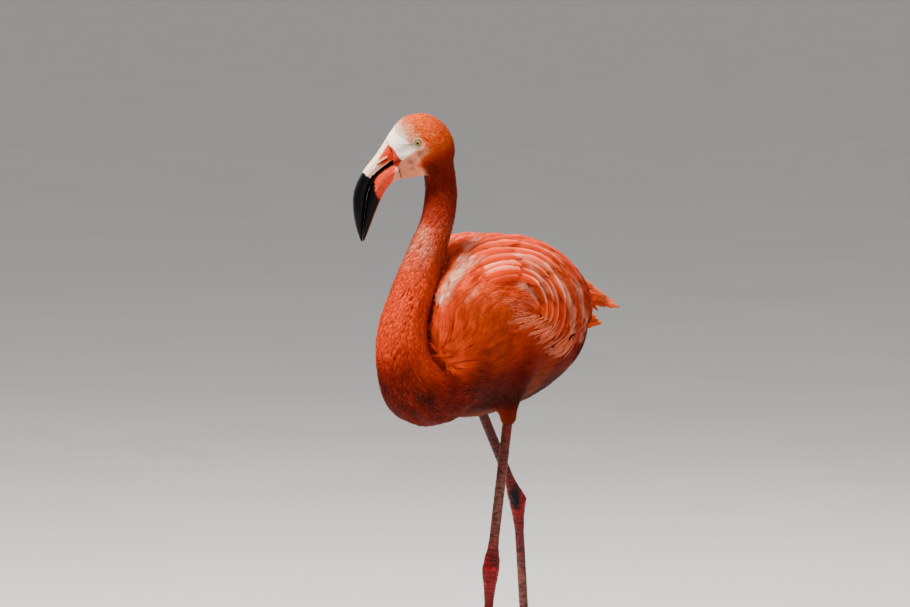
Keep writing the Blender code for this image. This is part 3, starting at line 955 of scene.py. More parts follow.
def plumage_tint(points: Array, label: Array) -> Array:
    """The coat's colour at points, painted light and shade included, the same for the skin and for the
    feathers on it.

    Args:
        points: Rows of the frame.
        label: The numbers of their regions.

    Returns:
        Rows of red, green, blue and how pale the feathers' edges are.
    """
    at = Places(points - np.array(BODY_ORIGIN), HEAD.local(points), label)
    local, neck = at.local, at.on(*NECK)
    streak = 0.70 + 0.30 * waves(local, 0.006, 15)
    blush = strokes(quarter_view(local) + 0.0015 * waves(local, 0.012, 17)[:, None], BLUSH) * streak
    blush = blush * ~(neck | at.on("head")) * (1 - ramp(local[:, 1], 0.130, 0.165))
    worn = [((0.95, 0.34, 0.19), blush), ((0.95, 0.66, 0.56), ramp(blush, 0.55, 0.92) * 0.8)]
    tint = np.tile(np.array(ORANGE), (len(points), 1))
    for colour, share in body_layers(at) + neck_layers(at) + head_layers(at) + worn:
        tint = mix(tint, colour, share)
    pale = 0.03 + 0.03 * waves(local, 0.03, 8)
    high = at.on(*WINGS) * ramp(local[:, 2], 0.57, 0.62)
    pale += high * (0.06 + 0.38 * ramp(waves(local, 0.026, 9), 0.0, 0.6))
    pale += 0.30 * neck_fleck(at) + 0.06 * neck + 0.10 * at.on("tail")
    return np.column_stack([tint, np.clip(pale + blush * 0.5, 0, 1)])


# ------------ shading


class Shading:
    """A node tree being filled, with short ways to add its nodes."""

    def __init__(self, tree: NodeTree) -> None:
        """Takes the node tree that the nodes go into."""
        self.tree = tree

    def node(self, kind: str, **settings: object) -> Node:
        """Adds a node.

        Args:
            kind: Its type, without the words that all shader nodes' types start with.
            settings: Its options.

        Returns:
            The node.
        """
        made = self.tree.nodes.new("ShaderNode" + kind)
        for key, value in settings.items():
            setattr(made, key, value)
        return made

    def feed(self, socket: NodeSocket, value: object) -> None:
        """Gives a socket a value or a link.

        Args:
            socket: The socket.
            value: A number, a colour or another node's output.
        """
        if isinstance(value, NodeSocket):
            self.tree.links.new(value, socket)
        else:
            socket.default_value = (*value, 1.0) if isinstance(value, tuple) else value

    def sum(self, operation: str, *values: object) -> NodeSocket:
        """Works out a sum.

        Args:
            operation: The Math node's operation.
            values: Numbers or outputs.

        Returns:
            Its result.
        """
        made = self.node("Math", operation=operation)
        for k, value in enumerate(values):
            self.feed(made.inputs[k], value)
        return made.outputs[0]

    def times(self, first: object, second: object) -> NodeSocket:
        """Multiplies two numbers."""
        return self.sum("MULTIPLY", first, second)

    def plus(self, first: object, second: object) -> NodeSocket:
        """Adds two numbers."""
        return self.sum("ADD", first, second)

    def minus(self, first: object, second: object) -> NodeSocket:
        """Takes one number from another."""
        return self.sum("SUBTRACT", first, second)

    def scaled(self, colour: object, gain: object) -> NodeSocket:
        """Makes a colour brighter or darker.

        Args:
            colour: The colour.
            gain: What it is multiplied by.

        Returns:
            The new colour.
        """
        made = self.node("VectorMath", operation="SCALE")
        self.feed(made.inputs[0], colour)
        self.feed(made.inputs["Scale"], gain)
        return made.outputs[0]

    def mottled(self, effects: "Effects", colour: object, scale: float, amount: float) -> Node:
        """Places the mottle effect.

        Args:
            effects: The shared effects.
            colour: The colour that it makes uneven.
            scale: How fine it is.
            amount: How strong it is.

        Returns:
            The group's node, with Colour and Value.
        """
        made = self.node("Group", node_tree=effects.mottle)
        self.feed(made.inputs["Colour"], colour)
        made.inputs["Scale"].default_value = scale
        made.inputs["Amount"].default_value = amount
        return made

    def step(self, value: object, low: float, high: float) -> NodeSocket:
        """A smooth step.

        Args:
            value: What is stepped.
            low: Where the result is 0.
            high: Where it is 1.

        Returns:
            The result.
        """
        made = self.node("MapRange", interpolation_type="SMOOTHSTEP")
        self.feed(made.inputs["Value"], value)
        made.inputs["From Min"].default_value = low
        made.inputs["From Max"].default_value = high
        return made.outputs["Result"]

    def blend(self, share: object, first: object, second: object) -> NodeSocket:
        """Mixes two colours.

        Args:
            share: How much of the second there is.
            first: The first colour.
            second: The second colour.

        Returns:
            The mixed colour.
        """
        made = self.node("Mix", data_type="RGBA", blend_type="MIX")
        for socket, value in zip((made.inputs[0], made.inputs[6], made.inputs[7]), (share, first, second)):
            self.feed(socket, value)
        return made.outputs[2]

    def noise(self, place: object, scale: object, detail: float) -> NodeSocket:
        """A noise centred on 0.5.

        Args:
            place: Where it is read.
            scale: How fine it is.
            detail: How many finer layers it has.

        Returns:
            Its value.
        """
        made = self.node("TexNoise")
        self.feed(made.inputs["Vector"], place)
        self.feed(made.inputs["Scale"], scale)
        made.inputs["Detail"].default_value = detail
        return made.outputs["Fac"]

    def place(self) -> NodeSocket:
        """Where a point is on the object."""
        return self.node("TexCoord").outputs["Object"]

    def value_of(self, name: str) -> Node:
        """Reads a stored attribute."""
        return self.node("Attribute", attribute_name=name)


def new_group(name: str, ins: dict[str, str], outs: dict[str, str]) -> tuple[Shading, Node, Node]:
    """Starts a shared effect.

    Args:
        name: The group's name.
        ins: The kind of each input socket.
        outs: The kind of each output socket.

    Returns:
        The tree to fill, its input node and its output node.
    """
    tree = bpy.data.node_groups.new(name, "ShaderNodeTree")
    for kind, sockets in (("INPUT", ins), ("OUTPUT", outs)):
        for label, socket in sockets.items():
            tree.interface.new_socket(label, in_out=kind, socket_type="NodeSocket" + socket)
    return Shading(tree), tree.nodes.new("NodeGroupInput"), tree.nodes.new("NodeGroupOutput")


class Effects:
    """The effects that several finishes share."""

    def __init__(self) -> None:
        """Makes the three effects that the finishes share."""
        self.mottle = self.make_mottle()
        self.vane = self.make_vane()
        self.scutes = self.make_scutes()

    def make_mottle(self) -> NodeTree:
        """Uneven colour and height at one scale.

        Returns:
            The group.
        """
        s, entry, leave = new_group("Mottle", {"Colour": "Color", "Scale": "Float", "Amount": "Float"},
                                    {"Colour": "Color", "Value": "Float"})
        grain = s.noise(s.place(), entry.outputs["Scale"], 4.0)
        swing = s.times(s.minus(grain, 0.5), entry.outputs["Amount"])
        s.feed(leave.inputs["Colour"], s.scaled(entry.outputs["Colour"], s.plus(s.times(swing, 2.0), 1.0)))
        s.feed(leave.inputs["Value"], grain)
        return s.tree

    def make_vane(self) -> NodeTree:
        """A feather's shaft, barbs and pale rim, with painted shade at its root and on its covered side,
        from where a point is across and along it.

        Returns:
            The group.
        """
        s, entry, leave = new_group(
            "Vane marks", {"Tint": "Color", "Paleness": "Float", "Vane": "Vector", "Barbs": "Float"},
            {"Colour": "Color", "Height": "Float"})
        split = s.node("SeparateXYZ")
        s.feed(split.inputs[0], entry.outputs["Vane"])
        across, along, chance = split.outputs
        side = s.sum("ABSOLUTE", across)
        slant = s.plus(along, s.times(side, -0.22))
        ridge = s.sum("SINE", s.times(slant, entry.outputs["Barbs"]))
        rim = s.minus(s.times(s.sum("POWER", along, 4.0), 0.45), across)
        pale = s.times(s.step(rim, 0.10, 0.95), entry.outputs["Paleness"])
        # painted shade on the side that the next feather covers
        covered_side_shade = s.minus(1.0, s.times(s.step(across, -0.45, 0.7), 0.38))
        lifted = s.blend(pale, entry.outputs["Tint"], (0.95, 0.44, 0.28))
        bright = s.times(s.plus(s.times(chance, 0.48), 0.86), covered_side_shade)
        # painted shade towards the root, where the feathers overlap
        root = s.plus(s.times(s.step(along, 0.0, 0.55), 0.45), 0.55)
        shaft = s.minus(1.0, s.times(s.step(side, 0.10, 0.02), 0.22))
        barbs = s.plus(s.times(ridge, 0.07), 1.0)
        gain = s.times(s.times(bright, root), s.times(shaft, barbs))
        s.feed(leave.inputs["Colour"], s.scaled(lifted, gain))
        s.feed(leave.inputs["Height"], s.plus(ridge, s.times(s.step(side, 0.10, 0.0), 2.0)))
        return s.tree

    def make_scutes(self) -> NodeTree:
        """Small flat scales parted by grooves, from a map that follows the limb.

        Returns:
            The group.
        """
        s, entry, leave = new_group("Scutes", {"Map": "Vector", "Scale": "Float"},
                                    {"Groove": "Float", "Scale value": "Float"})
        cells, tone = (s.node("TexVoronoi", feature=kind) for kind in ("DISTANCE_TO_EDGE", "F1"))
        for made in (cells, tone):
            s.feed(made.inputs["Vector"], entry.outputs["Map"])
            s.feed(made.inputs["Scale"], entry.outputs["Scale"])
        part = s.node("SeparateColor")
        s.feed(part.inputs[0], tone.outputs["Color"])
        s.feed(leave.inputs["Groove"], s.step(cells.outputs["Distance"], 0.0, 0.10))
        s.feed(leave.inputs["Scale value"], part.outputs[0])
        return s.tree


def new_material(name: str, roughness: float, **plain: float) -> tuple[Shading, Node, Material]:
    """Starts a finish.

    Args:
        name: The material's name.
        roughness: Its roughness all over.
        plain: Other values of the shader that are the same all over, with _ for a space in their names.

    Returns:
        The tree to fill, its shader and the material.
    """
    material = bpy.data.materials.new(name)
    material.use_nodes = True
    shader = material.node_tree.nodes["Principled BSDF"]
    shader.inputs["Roughness"].default_value = roughness
    for key, value in plain.items():
        shader.inputs[key.replace("_", " ")].default_value = value
    return Shading(material.node_tree), shader, material


def add_bump(s: Shading, shader: Node, height: NodeSocket, distance: float,
             strength: float = 1.0) -> None:
    """Leads a height into a shader's normal.

    Args:
        s: The material's tree.
        shader: Its shader.
        height: The height.
        distance: How many metres a height of 1 stands for.
        strength: How much of it shows.
    """
    bump = s.node("Bump")
    bump.inputs["Distance"].default_value = distance
    bump.inputs["Strength"].default_value = strength
    s.feed(bump.inputs["Height"], height)
    s.feed(shader.inputs["Normal"], bump.outputs["Normal"])


@dataclass(frozen=True)
class GrainFinish:
    """One colour, or the piece's own stored tint, made uneven and finely grained."""

    name: str
    roughness: float
    specular: float
    grain: float  # how fine the grain is
    amount: float  # how uneven the colour is
    relief: float = 0.0  # metres
    colour: Colour | None = None  # the stored tint where it is left out

    def make(self, effects: Effects) -> Material:
        """Builds the material.

        Args:
            effects: The shared effects.

        Returns:
            The material.
        """
        s, shader, material = new_material(self.name, self.roughness, Specular_IOR_Level=self.specular)
        colour = self.colour or s.value_of("tint").outputs["Color"]
        group = s.mottled(effects, colour, self.grain, self.amount)
        s.feed(shader.inputs["Base Color"], group.outputs["Colour"])
        if self.relief:
            add_bump(s, shader, group.outputs["Value"], self.relief)
        return material


UNDER_COAT = GrainFinish("plumage_skin", 0.70, 0.06, 420.0, 0.35, 0.0006)
COMB_HORN = GrainFinish("comb_horn", 0.8, 0.0, 900.0, 0.6, colour=(0.0015, 0.0012, 0.0012))
CLAW_HORN = GrainFinish("claw_horn", 0.42, 0.35, 700.0, 0.9, 0.0002, (0.028, 0.018, 0.015))


@dataclass(frozen=True)
class VaneFinish:
    """Feathers: their tint, pale rims, shafts and barbs."""

    name: str
    barbs: float
    roughness: float = 0.66
    relief: float = 0.00012

    def make(self, effects: Effects) -> Material:
        """Builds the material.

        Args:
            effects: The shared effects.

        Returns:
            The material.
        """
        s, shader, material = new_material(self.name, self.roughness, Specular_IOR_Level=0.05)
        group = s.node("Group", node_tree=effects.vane)
        s.feed(group.inputs["Tint"], s.value_of("tint").outputs["Color"])
        s.feed(group.inputs["Paleness"], s.value_of("pale").outputs["Fac"])
        s.feed(group.inputs["Vane"], s.value_of("vane").outputs["Vector"])
        group.inputs["Barbs"].default_value = self.barbs
        s.feed(shader.inputs["Base Color"], group.outputs["Colour"])
        add_bump(s, shader, group.outputs["Height"], self.relief, 0.6)
        return material


# ------------ feathers


@dataclass(frozen=True)
class Vane:
    """The cut of one kind of feather: a single vane, or loose strands side by side."""

    strands: int
    rows: int
    columns: int = 1
    fan: float = 0.9  # how far the outer strands stand from the middle, in half widths
    strand: float = 0.4  # a strand's half width, in the feather's half widths
    camber: float = 0.25  # how far the rims lie below the middle, in half widths
    blunt: float = 0.5  # how blunt the tip is
    ragged: float = 0.0  # how much the rim wavers

    def template(self) -> tuple[Array, Array, Array]:
        """The feather laid flat.

        Returns:
            Points as rows of (across, along, strand's number), the faces, and how far across its own strand
            each point is, from -1 to 1.
        """
        points, faces, own, start = [], [], [], 0
        for k in range(self.strands):
            grid = bmesh.new()
            bmesh.ops.create_grid(grid, x_segments=self.columns, y_segments=self.rows, size=1.0)
            middle = 0.0 if self.strands == 1 else (2 * k / (self.strands - 1) - 1) * self.fan
            for vert in grid.verts:
                along = vert.co.y / 2 + 0.5
                width = self.width(along, k)
                points.append((middle * (0.35 + 0.65 * along) + vert.co.x * width, along, k))
                own.append(vert.co.x)
            faces += [[vert.index + start for vert in face.verts] for face in grid.faces]
            start += len(grid.verts)
            grid.free()
        return np.array(points), np.array(faces), np.array(own)

    def width(self, along: float, k: int) -> float:
        """How wide a strand is.

        Args:
            along: A share of its length.
            k: Its number.

        Returns:
            Its half width there, in the feather's half widths.
        """
        if self.strands > 1:
            thin = 0.10 + 0.90 * (1 - along) ** self.blunt
            return self.strand * thin * (0.7 + 0.3 * math.sin(3 * along))
        rise = 0.30 + 0.70 * math.sin(min(along / 0.45, 1.0) * math.pi / 2)
        fall = max(1 - max(0.0, (along - 0.55) / 0.45) ** (2 + 3 * self.blunt), 0.0) ** 0.6
        return rise * (0.10 + 0.90 * fall)


class Kind(Enum):
    """The kinds of feather on the bird."""

    DOWN = Vane(strands=3, rows=2, strand=0.42, fan=0.62, blunt=0.7)
    SILK = Vane(strands=5, rows=4, strand=0.26, fan=0.78, blunt=0.8, camber=0.2)
    COVERT = Vane(strands=7, rows=5, strand=0.22, fan=0.85, blunt=0.6, camber=0.3)
    PLUME = Vane(strands=3, rows=9, strand=0.36, fan=0.62, blunt=0.5, camber=0.5)
    LONG = Vane(strands=1, rows=18, columns=8, blunt=0.15, camber=0.22, ragged=0.12)


@dataclass
class Patch:
    """How one part of the coat is laid, in metres, for each point of the body's surface or for all."""

    name: str
    kind: Kind
    width: Array | float
    length: Array | float = 0.0  # only where the feathers follow the body
    mask: Array | None = None  # the points of the surface that it covers
    spacing: Array | float = 0.004
    lift: float = 0.0004  # how far the tips stand off
    wander: float = 0.12  # how unevenly the feathers turn, in radians
    seed: int = 1
    curl: float = 0.0  # how far the tips bend sideways, in half widths
    proud: float = 0.0  # how far the whole feather stands off
    sink: float = 0.85  # how deep the root lies, in depths of the coat
    tint_shift: Colour | None = None
    shift_share: float = 0.0
    mirror: bool = False  # whether the rims change sides
    rims: float = 0.0  # how much paler its rims are than the coat's


@dataclass
class Plumage:
    """The coat: joined meshes of feathers laid over the body."""

    body: Body
    finish: dict[Kind, Material]
    patch: float = 0.003
    pieces: list[Object] = field(default_factory=list)

    def lay(self, plan: Patch) -> None:
        """Lays one patch of feathers along the body.

        Args:
            plan: What to lay and where.
        """
        body, rows = self.body, plan.kind.value.rows
        count = len(body.surface.points)
        sizes = (plan.length, plan.width, plan.spacing)
        length, width, spacing = (np.broadcast_to(size, count) for size in sizes)
        roots, near = body.scatter(plan.mask, spacing, SEED + plan.seed)
        rng = np.random.default_rng(SEED + plan.seed)
        length = length[near] * rng.uniform(0.82, 1.15, len(roots))
        turn = rng.normal(0, plan.wander, len(roots))
        spots, normals = body.paths(roots, length, rows, turn)
        self.keep(plan, self.feather_mesh(plan, spots, normals, near, width[near], rng))

    def lay_free(self, plan: Patch, spots: Array, normals: Array) -> None:
        """Lays feathers along paths of their own.

        Args:
            plan: The patch.
            spots: Each feather's path.
            normals: The way its upper side faces along the path.
        """
        near = np.array([self.body.search.find(point)[1] for point in spots[:, 0]])
        rng = np.random.default_rng(SEED + plan.seed)
        width = np.broadcast_to(plan.width, len(spots))
        self.keep(plan, self.feather_mesh(plan, spots, normals, near, width, rng))

    def keep(self, plan: Patch, mesh: Mesh) -> None:
        """Adds a joined mesh of feathers to the coat's pieces.

        Args:
            plan: The patch.
            mesh: Its mesh.
        """
        self.pieces.append(new_object(plan.name, mesh, self.finish[plan.kind]))
        log.info("%s: %d triangles", plan.name, 2 * len(mesh.polygons))

    def feather_mesh(self, plan: Patch, spots: Array, normals: Array, near: Array,
                     width: Array, rng: np.random.Generator) -> Mesh:
        """Bends the flat feather along every path.

        Args:
            plan: The patch.
            spots: The paths' points.
            normals: The surface's directions there.
            near: The surface's point nearest to each root.
            width: How wide each feather is.
            rng: Its random numbers.

        Returns:
            The joined mesh with its colours and its map.
        """
        body, kind = self.body, plan.kind.value
        flat, faces, own = kind.template()
        number = len(spots)
        along = np.tile(flat[:, 1], (number, 1))
        if kind.strands > 1:
            reach = rng.uniform(0.72, 1.0, (number, kind.strands))
            along = along * reach[:, flat[:, 2].astype(int)]
        across = np.tile(flat[:, 0], (number, 1))
        if kind.ragged:
            across = across * (1 + kind.ragged * rng.normal(size=across.shape) * (along > 0.3))
            along = along + kind.ragged * 0.16 * rng.normal(size=along.shape) * (along > 0.5)
        along = np.clip(along, 0, 1)
        across = across + plan.curl * rng.normal(size=(number, 1)) * along**2
        at = along * (spots.shape[1] - 1)
        low = np.minimum(at.astype(int), spots.shape[1] - 2)
        part = (at - low)[:, :, None]
        which = np.arange(number)[:, None]
        middle = spots[which, low] * (1 - part) + spots[which, low + 1] * part
        way = unit(spots[which, low + 1] - spots[which, low])
        normal = unit(normals[which, low] * (1 - part) + normals[which, low + 1] * part)
        side = np.cross(way, normal) * (-1 if plan.mirror else 1)
        depth = body.depth[near]
        jitter = rng.uniform(0, 0.0004, (number, 1))
        lift = plan.lift * rng.uniform(0.2, 1.8, (number, 1))
        height = -depth * plan.sink * (1 - along) ** 1.4 + lift * along + jitter + plan.proud
        half = width[:, None] / 2
        height = height - kind.camber * half * across**2
        points = middle + side * (across * half)[:, :, None] + normal * height[:, :, None]

        points = points.reshape(-1, 3)
        joined = (faces[None] + np.arange(number)[:, None, None] * len(flat)).reshape(-1, faces.shape[1])
        mesh = mesh_from_arrays(plan.name, points, joined[:, ::-1] if plan.mirror else joined)
        tint = plumage_tint(points, body.label[np.repeat(near, len(flat))])
        if plan.tint_shift is not None:
            tint[:, :3] = mix(tint[:, :3], plan.tint_shift, np.full(len(tint), plan.shift_share))
        put_tint(mesh, tint[:, :3])
        put_values(mesh, "pale", np.minimum(tint[:, 3:] + plan.rims, 1.0))
        chance = np.repeat(rng.random(number), len(flat))
        put_values(mesh, "vane", np.column_stack([np.tile(own, number), along.ravel(), chance]))
        share, around = body.spine_places(body.surface.points[near], body.label[near])
        u, v = around[:, None] + across * self.patch / 2, share[:, None] + (along - 0.5) * self.patch
        self.put_bake_map(mesh, u, v)
        return mesh

    def put_bake_map(self, mesh: Mesh, u: Array, v: Array) -> None:
        """Gives each feather its small place on the unwrap of the body.

        Args:
            mesh: The joined feathers.
            u: How far round the body each point is.
            v: How far along the body each is.
        """
        places = np.column_stack([u.ravel(), v.ravel()])
        order = np.empty(len(mesh.loops), np.int32)
        mesh.loops.foreach_get("vertex_index", order)
        layer = mesh.uv_layers.new(name="OFBake")
        layer.data.foreach_set("uv", places[order].astype(np.float32).ravel())


# ------------ studio


@dataclass
class Studio:
    """A pale floor, soft light and the camera."""

    turn: float = math.radians(33.0)
    dip: float = math.radians(5.2)
    distance: float = 6.5
    height: float = 1.2
    shift_right: float = -0.0376
    lens: float = 218.6
    floor_size: float = 400.0

    def build(self) -> None:
        """Makes the floor, the lights and the camera."""
        right = Vector((math.cos(self.turn), math.sin(self.turn), 0.0))
        ahead = Vector((-math.sin(self.turn), math.cos(self.turn), 0.0))
        self.make_floor()
        self.make_camera(right, ahead)
        world = bpy.data.worlds.new("studio")
        world.use_nodes = True
        sky = world.node_tree.nodes["Background"]
        sky.inputs["Color"].default_value = (1.0, 0.98, 0.95, 1.0)
        sky.inputs["Strength"].default_value = 0.46
        bpy.context.scene.world = world
        middle = BODY_ORIGIN + Vector((0, 0, 0.6))
        for name, across, back, up, power, size, colour in (
            ("key", -1.15, -0.65, 2.8, 350.0, 1.25, (1.0, 0.96, 0.89)),
            ("fill", 2.6, -1.8, 0.6, 26.0, 2.0, (1.0, 0.97, 0.94)),
            ("rim", 0.8, 2.2, 1.8, 40.0, 1.2, (1.0, 0.98, 0.95)),
        ):
            self.lamp(name, middle + right * across + ahead * back + UP * up, middle, power, size, colour)

    def make_floor(self) -> None:
        """A wide pale floor with a faint grain."""
        bm = bmesh.new()
        bmesh.ops.create_grid(bm, x_segments=8, y_segments=8, size=self.floor_size)
        s, shader, material = new_material("floor_paint", 0.75, Specular_IOR_Level=0.2)
        grain = s.step(s.noise(s.place(), 3.0, 3.0), 0.2, 0.8)
        s.feed(shader.inputs["Base Color"], s.blend(grain, (0.66, 0.655, 0.645), (0.69, 0.685, 0.675)))
        new_object("floor", mesh_of(bm, "floor"), material)

    def make_camera(self, right: Vector, ahead: Vector) -> None:
        """The camera, low and far off to the bird's front left.

        Args:
            right: The way to its right.
            ahead: The level way that it looks.
        """
        camera = bpy.data.cameras.new("camera")
        camera.lens = self.lens
        camera.clip_end = 1000.0
        obj = bpy.data.objects.new("camera", camera)
        bpy.context.scene.collection.objects.link(obj)
        look = ahead * math.cos(self.dip) - UP * math.sin(self.dip)
        obj.location = BODY_ORIGIN + right * self.shift_right - ahead * self.distance + UP * self.height
        obj.rotation_euler = look.to_track_quat("-Z", "Y").to_euler()
        bpy.context.scene.camera = obj

    def lamp(self, name: str, at: Vector, aim: Vector, power: float, size: float, colour: Colour) -> None:
        """One soft square lamp.

        Args:
            name: Its name.
            at: Where it is.
            aim: The point that it is turned to.
            power: Its watts.
            size: The length of its sides.
            colour: Its colour.
        """
        light = bpy.data.lights.new(name, "AREA")
        light.energy = power
        light.size = size
        light.color = colour
        obj = bpy.data.objects.new(name, light)
        obj.location = at
        obj.rotation_euler = (aim - at).to_track_quat("-Z", "Y").to_euler()
        bpy.context.scene.collection.objects.link(obj)


# ------------ the coat, part by part


WHORL = (0.0296, 0.599)  # the middle of the folded wing's arcs (towards the tail, up)
# guides for the plumes below the whorl, each of three places (towards the tail, up) from root to tip
PLUMES = (
    ((0.0134, 0.5814), (0.0404, 0.5909), (0.0553, 0.5909)),
    ((0.0215, 0.5720), (0.0431, 0.5841), (0.0593, 0.5895)),
    ((0.0323, 0.5666), (0.0593, 0.5787), (0.0782, 0.5909)),
    ((0.0431, 0.5598), (0.0647, 0.5706), (0.0782, 0.5855)),
    ((0.0566, 0.5531), (0.0728, 0.5652), (0.0877, 0.5841)),
    ((0.0620, 0.5463), (0.0809, 0.5544), (0.0944, 0.5760)),
    ((0.0701, 0.5396), (0.0863, 0.5490), (0.0966, 0.5666)),
    ((0.0790, 0.5410), (0.0950, 0.5520), (0.1050, 0.5700)),
)


# the tail's layers, the top one first: how far up each starts, its slope, its shortest and longest feather
TAIL_LAYERS = (
    (0.0330, -0.420, 0.070, 0.100), (0.0230, -0.330, 0.075, 0.108), (0.0120, -0.240, 0.085, 0.118),
    (0.0020, -0.170, 0.116, 0.142), (-0.0070, -0.100, 0.070, 0.096),
)


@dataclass
class Coat:
    """Everything that grows on the body, from the face's down to the long feathers over the wings."""

    body: Body
    effects: Effects
    plume_count: int = 25
    # length, width and spacing of the small feathers on each part
    small: dict[str, tuple[float, float, float]] = field(default_factory=lambda: {
        "head": (0.0062, 0.0022, 0.00130), "neck_upper": (0.0095, 0.0030, 0.00175),
        "neck_middle": (0.0120, 0.0038, 0.00215), "neck_lower": (0.0180, 0.0056, 0.0029),
        "trunk": (0.0330, 0.0105, 0.0046), "tail": (0.0360, 0.0110, 0.0055),
        **dict.fromkeys(WINGS, (0.0400, 0.0140, 0.0056)),
        **dict.fromkeys(THIGHS, (0.0200, 0.0058, 0.0031)),
    })

    def build(self) -> list[Object]:
        """Lays every patch.

        Returns:
            The pieces.
        """
        finish = {
            Kind.DOWN: VaneFinish("down", barbs=20.0).make(self.effects),
            Kind.SILK: VaneFinish("silk", barbs=45.0).make(self.effects),
            Kind.COVERT: VaneFinish("covert", barbs=60.0).make(self.effects),
            Kind.PLUME: VaneFinish("plume", barbs=80.0).make(self.effects),
            Kind.LONG: VaneFinish("long", barbs=260.0, relief=0.0002).make(self.effects),
        }
        self.plumage = Plumage(self.body, finish)
        rows = np.array([self.small[name] for name in FLESH])[self.body.label]
        self.length, self.width, self.spacing = self.body.surface.soften(rows, 10).T
        face = HEAD.local(self.body.surface.points)
        fine = ramp(face[:, 0] - 0.3 * np.maximum(face[:, 2], 0), -0.006, 0.012)
        fine = fine * self.body.is_on("head")
        self.length, self.width = self.length * (1 - 0.50 * fine), self.width * (1 - 0.40 * fine)
        self.lay_small()
        for name, side in SIDES.items():
            self.lay_wing(name, side)
        self.lay_tail()
        return self.plumage.pieces

    def lay_wing(self, name: str, side: float) -> None:
        """The large feathers over one folded wing, lowest layer first.

        Args:
            name: The wing's side.
            side: 1 on the left, -1 on the right.
        """
        rng = np.random.default_rng(SEED + 40)
        wing = self.body.is_on(f"wing_{name}", "trunk")
        local = self.body.surface.points - np.array(BODY_ORIGIN)
        over = wing & (local[:, 0] * side > 0.004) & (local[:, 2] > 0.612)
        over &= local[:, 1] < 0.01
        self.plumage.lay(Patch(f"scapulars_{name}", Kind.COVERT, 0.0185, 0.056, over, 0.0092,
                               lift=0.0012, proud=0.0002, wander=0.13, seed=51))
        arcs, highs = self.arcs(rng), []
        spots, normals = self.on_side(side, [line for line, _, _ in arcs], Kind.LONG.value.rows)
        share = np.linspace(0, 1, spots.shape[1])[:, None]
        for _, high, _ in arcs:
            dip, reach = (0.0066, 0.5) if high > 0.0006 else (0.0042, 0.35)  # of the feather's sunken root
            highs.append(high - dip * np.maximum(1 - share / reach, 0) ** 1.5)
        spots = spots + normals * np.array(highs)
        wide = np.array([width for _, _, width in arcs])
        plan = Patch(f"tertials_{name}", Kind.LONG, wide, lift=0.0012, proud=0.0004, seed=52, sink=0.30,
                     mirror=side < 0, rims=0.13)
        self.plumage.lay_free(plan, spots, normals)
        plumes = self.plumes(rng)
        spots, normals = self.on_side(side, plumes, Kind.PLUME.value.rows)
        wide = rng.uniform(0.0065, 0.0105, len(plumes))
        plan = Patch(f"flank_tips_{name}", Kind.PLUME, wide, lift=0.0034, proud=0.0004, curl=0.7, seed=53,
                     tint_shift=(0.85, 0.14, 0.04), shift_share=0.35, mirror=side < 0, rims=0.55)
        self.plumage.lay_free(plan, spots, normals)

    def arcs(self, rng: np.random.Generator) -> list[tuple[Array, float, float]]:
        """The long feathers' lines over the wing's whorl, in bands, the outermost first.

        Args:
            rng: Its random numbers.

        Returns:
            For each feather its line (towards the tail, up), how high it lies and its width.
        """
        found = []
        outer = ((146, 84), (122, 40), (82, 2), (44, -42))
        inner = ((150, 84), (118, 44), (78, 8), (40, -22))
        for band, reach in enumerate((0.0840, 0.0760, 0.0680, 0.0600, 0.0520, 0.0445, 0.0370)):
            for order, (first, last) in zip((3, 2, 1, 0), inner if band > 3 else outer):
                turn = np.radians(np.linspace(first, last, 16) + rng.uniform(-5, 5))
                swell = 1 + 0.34 * np.maximum((turn - math.pi / 2) / (math.pi / 2), 0) ** 1.5
                far = (reach + rng.uniform(-0.0016, 0.0016)) * swell * (1 + 0.02 * np.sin(turn * 2))
                line = far[:, None] * np.column_stack([np.cos(turn), np.sin(turn)]) + np.array(WHORL)
                found.append((line, 0.00034 * band + 0.0004 * order - 0.0008, rng.uniform(0.0140, 0.0175)))
        return found

    def plumes(self, rng: np.random.Generator) -> list[Array]:
        """The curly plumes' lines below the whorl, from the lowest inner one to the outermost.

        Args:
            rng: Its random numbers.

        Returns:
            Their lines (towards the tail, up).
        """
        guides = np.array(PLUMES)
        found = []
        for k in range(self.plume_count):
            at = (k + rng.uniform(-0.4, 0.4)) / (self.plume_count - 1) * (len(guides) - 1)
            low = int(np.clip(at, 0, len(guides) - 1.001))
            part = at - low
            line = guides[low] * (1 - part) + guides[low + 1] * part + rng.normal(0, 0.0012, (3, 2))
            found.append(smooth_line([tuple(row) for row in line], 9))
        return found

    def on_side(self, side: float, lines: Sequence[Array], steps: int) -> tuple[Array, Array]:
        """Lays flat lines onto one side of the body.

        Args:
            side: 1 on the left, -1 on the right.
            lines: Rows of (towards the tail, up), as from the front quarter.
            steps: How many pieces each path has.

        Returns:
            The paths on the surface, and the surface's directions along them.
        """
        surface = self.body.surface
        local = surface.points - np.array(BODY_ORIGIN)
        toward = surface.normals @ np.array([0.5446 * side, -0.8387, 0.09])
        seen = self.body.is_on("trunk", *WINGS, *THIGHS) & (local[:, 0] * side > 0.0) & (toward > -0.05)
        places, points, normals = quarter_view(local[seen]), surface.points[seen], surface.normals[seen]
        spots, ups = [], []
        for line in lines:
            for place in smooth_line([tuple(row) for row in line], steps + 1):
                far = norm(places - place, axis=1)
                weight = np.exp(-((far / 0.0035) ** 2)) * (far < far.min() + 0.008)
                total = weight.sum()
                weight = weight / total if total > 1e-6 else (far == far.min()) * 1.0
                spots.append(weight @ points)
                ups.append(weight @ normals)
        shape = (len(lines), steps + 1, 3)
        return np.array(spots).reshape(shape), unit(np.array(ups)).reshape(shape)

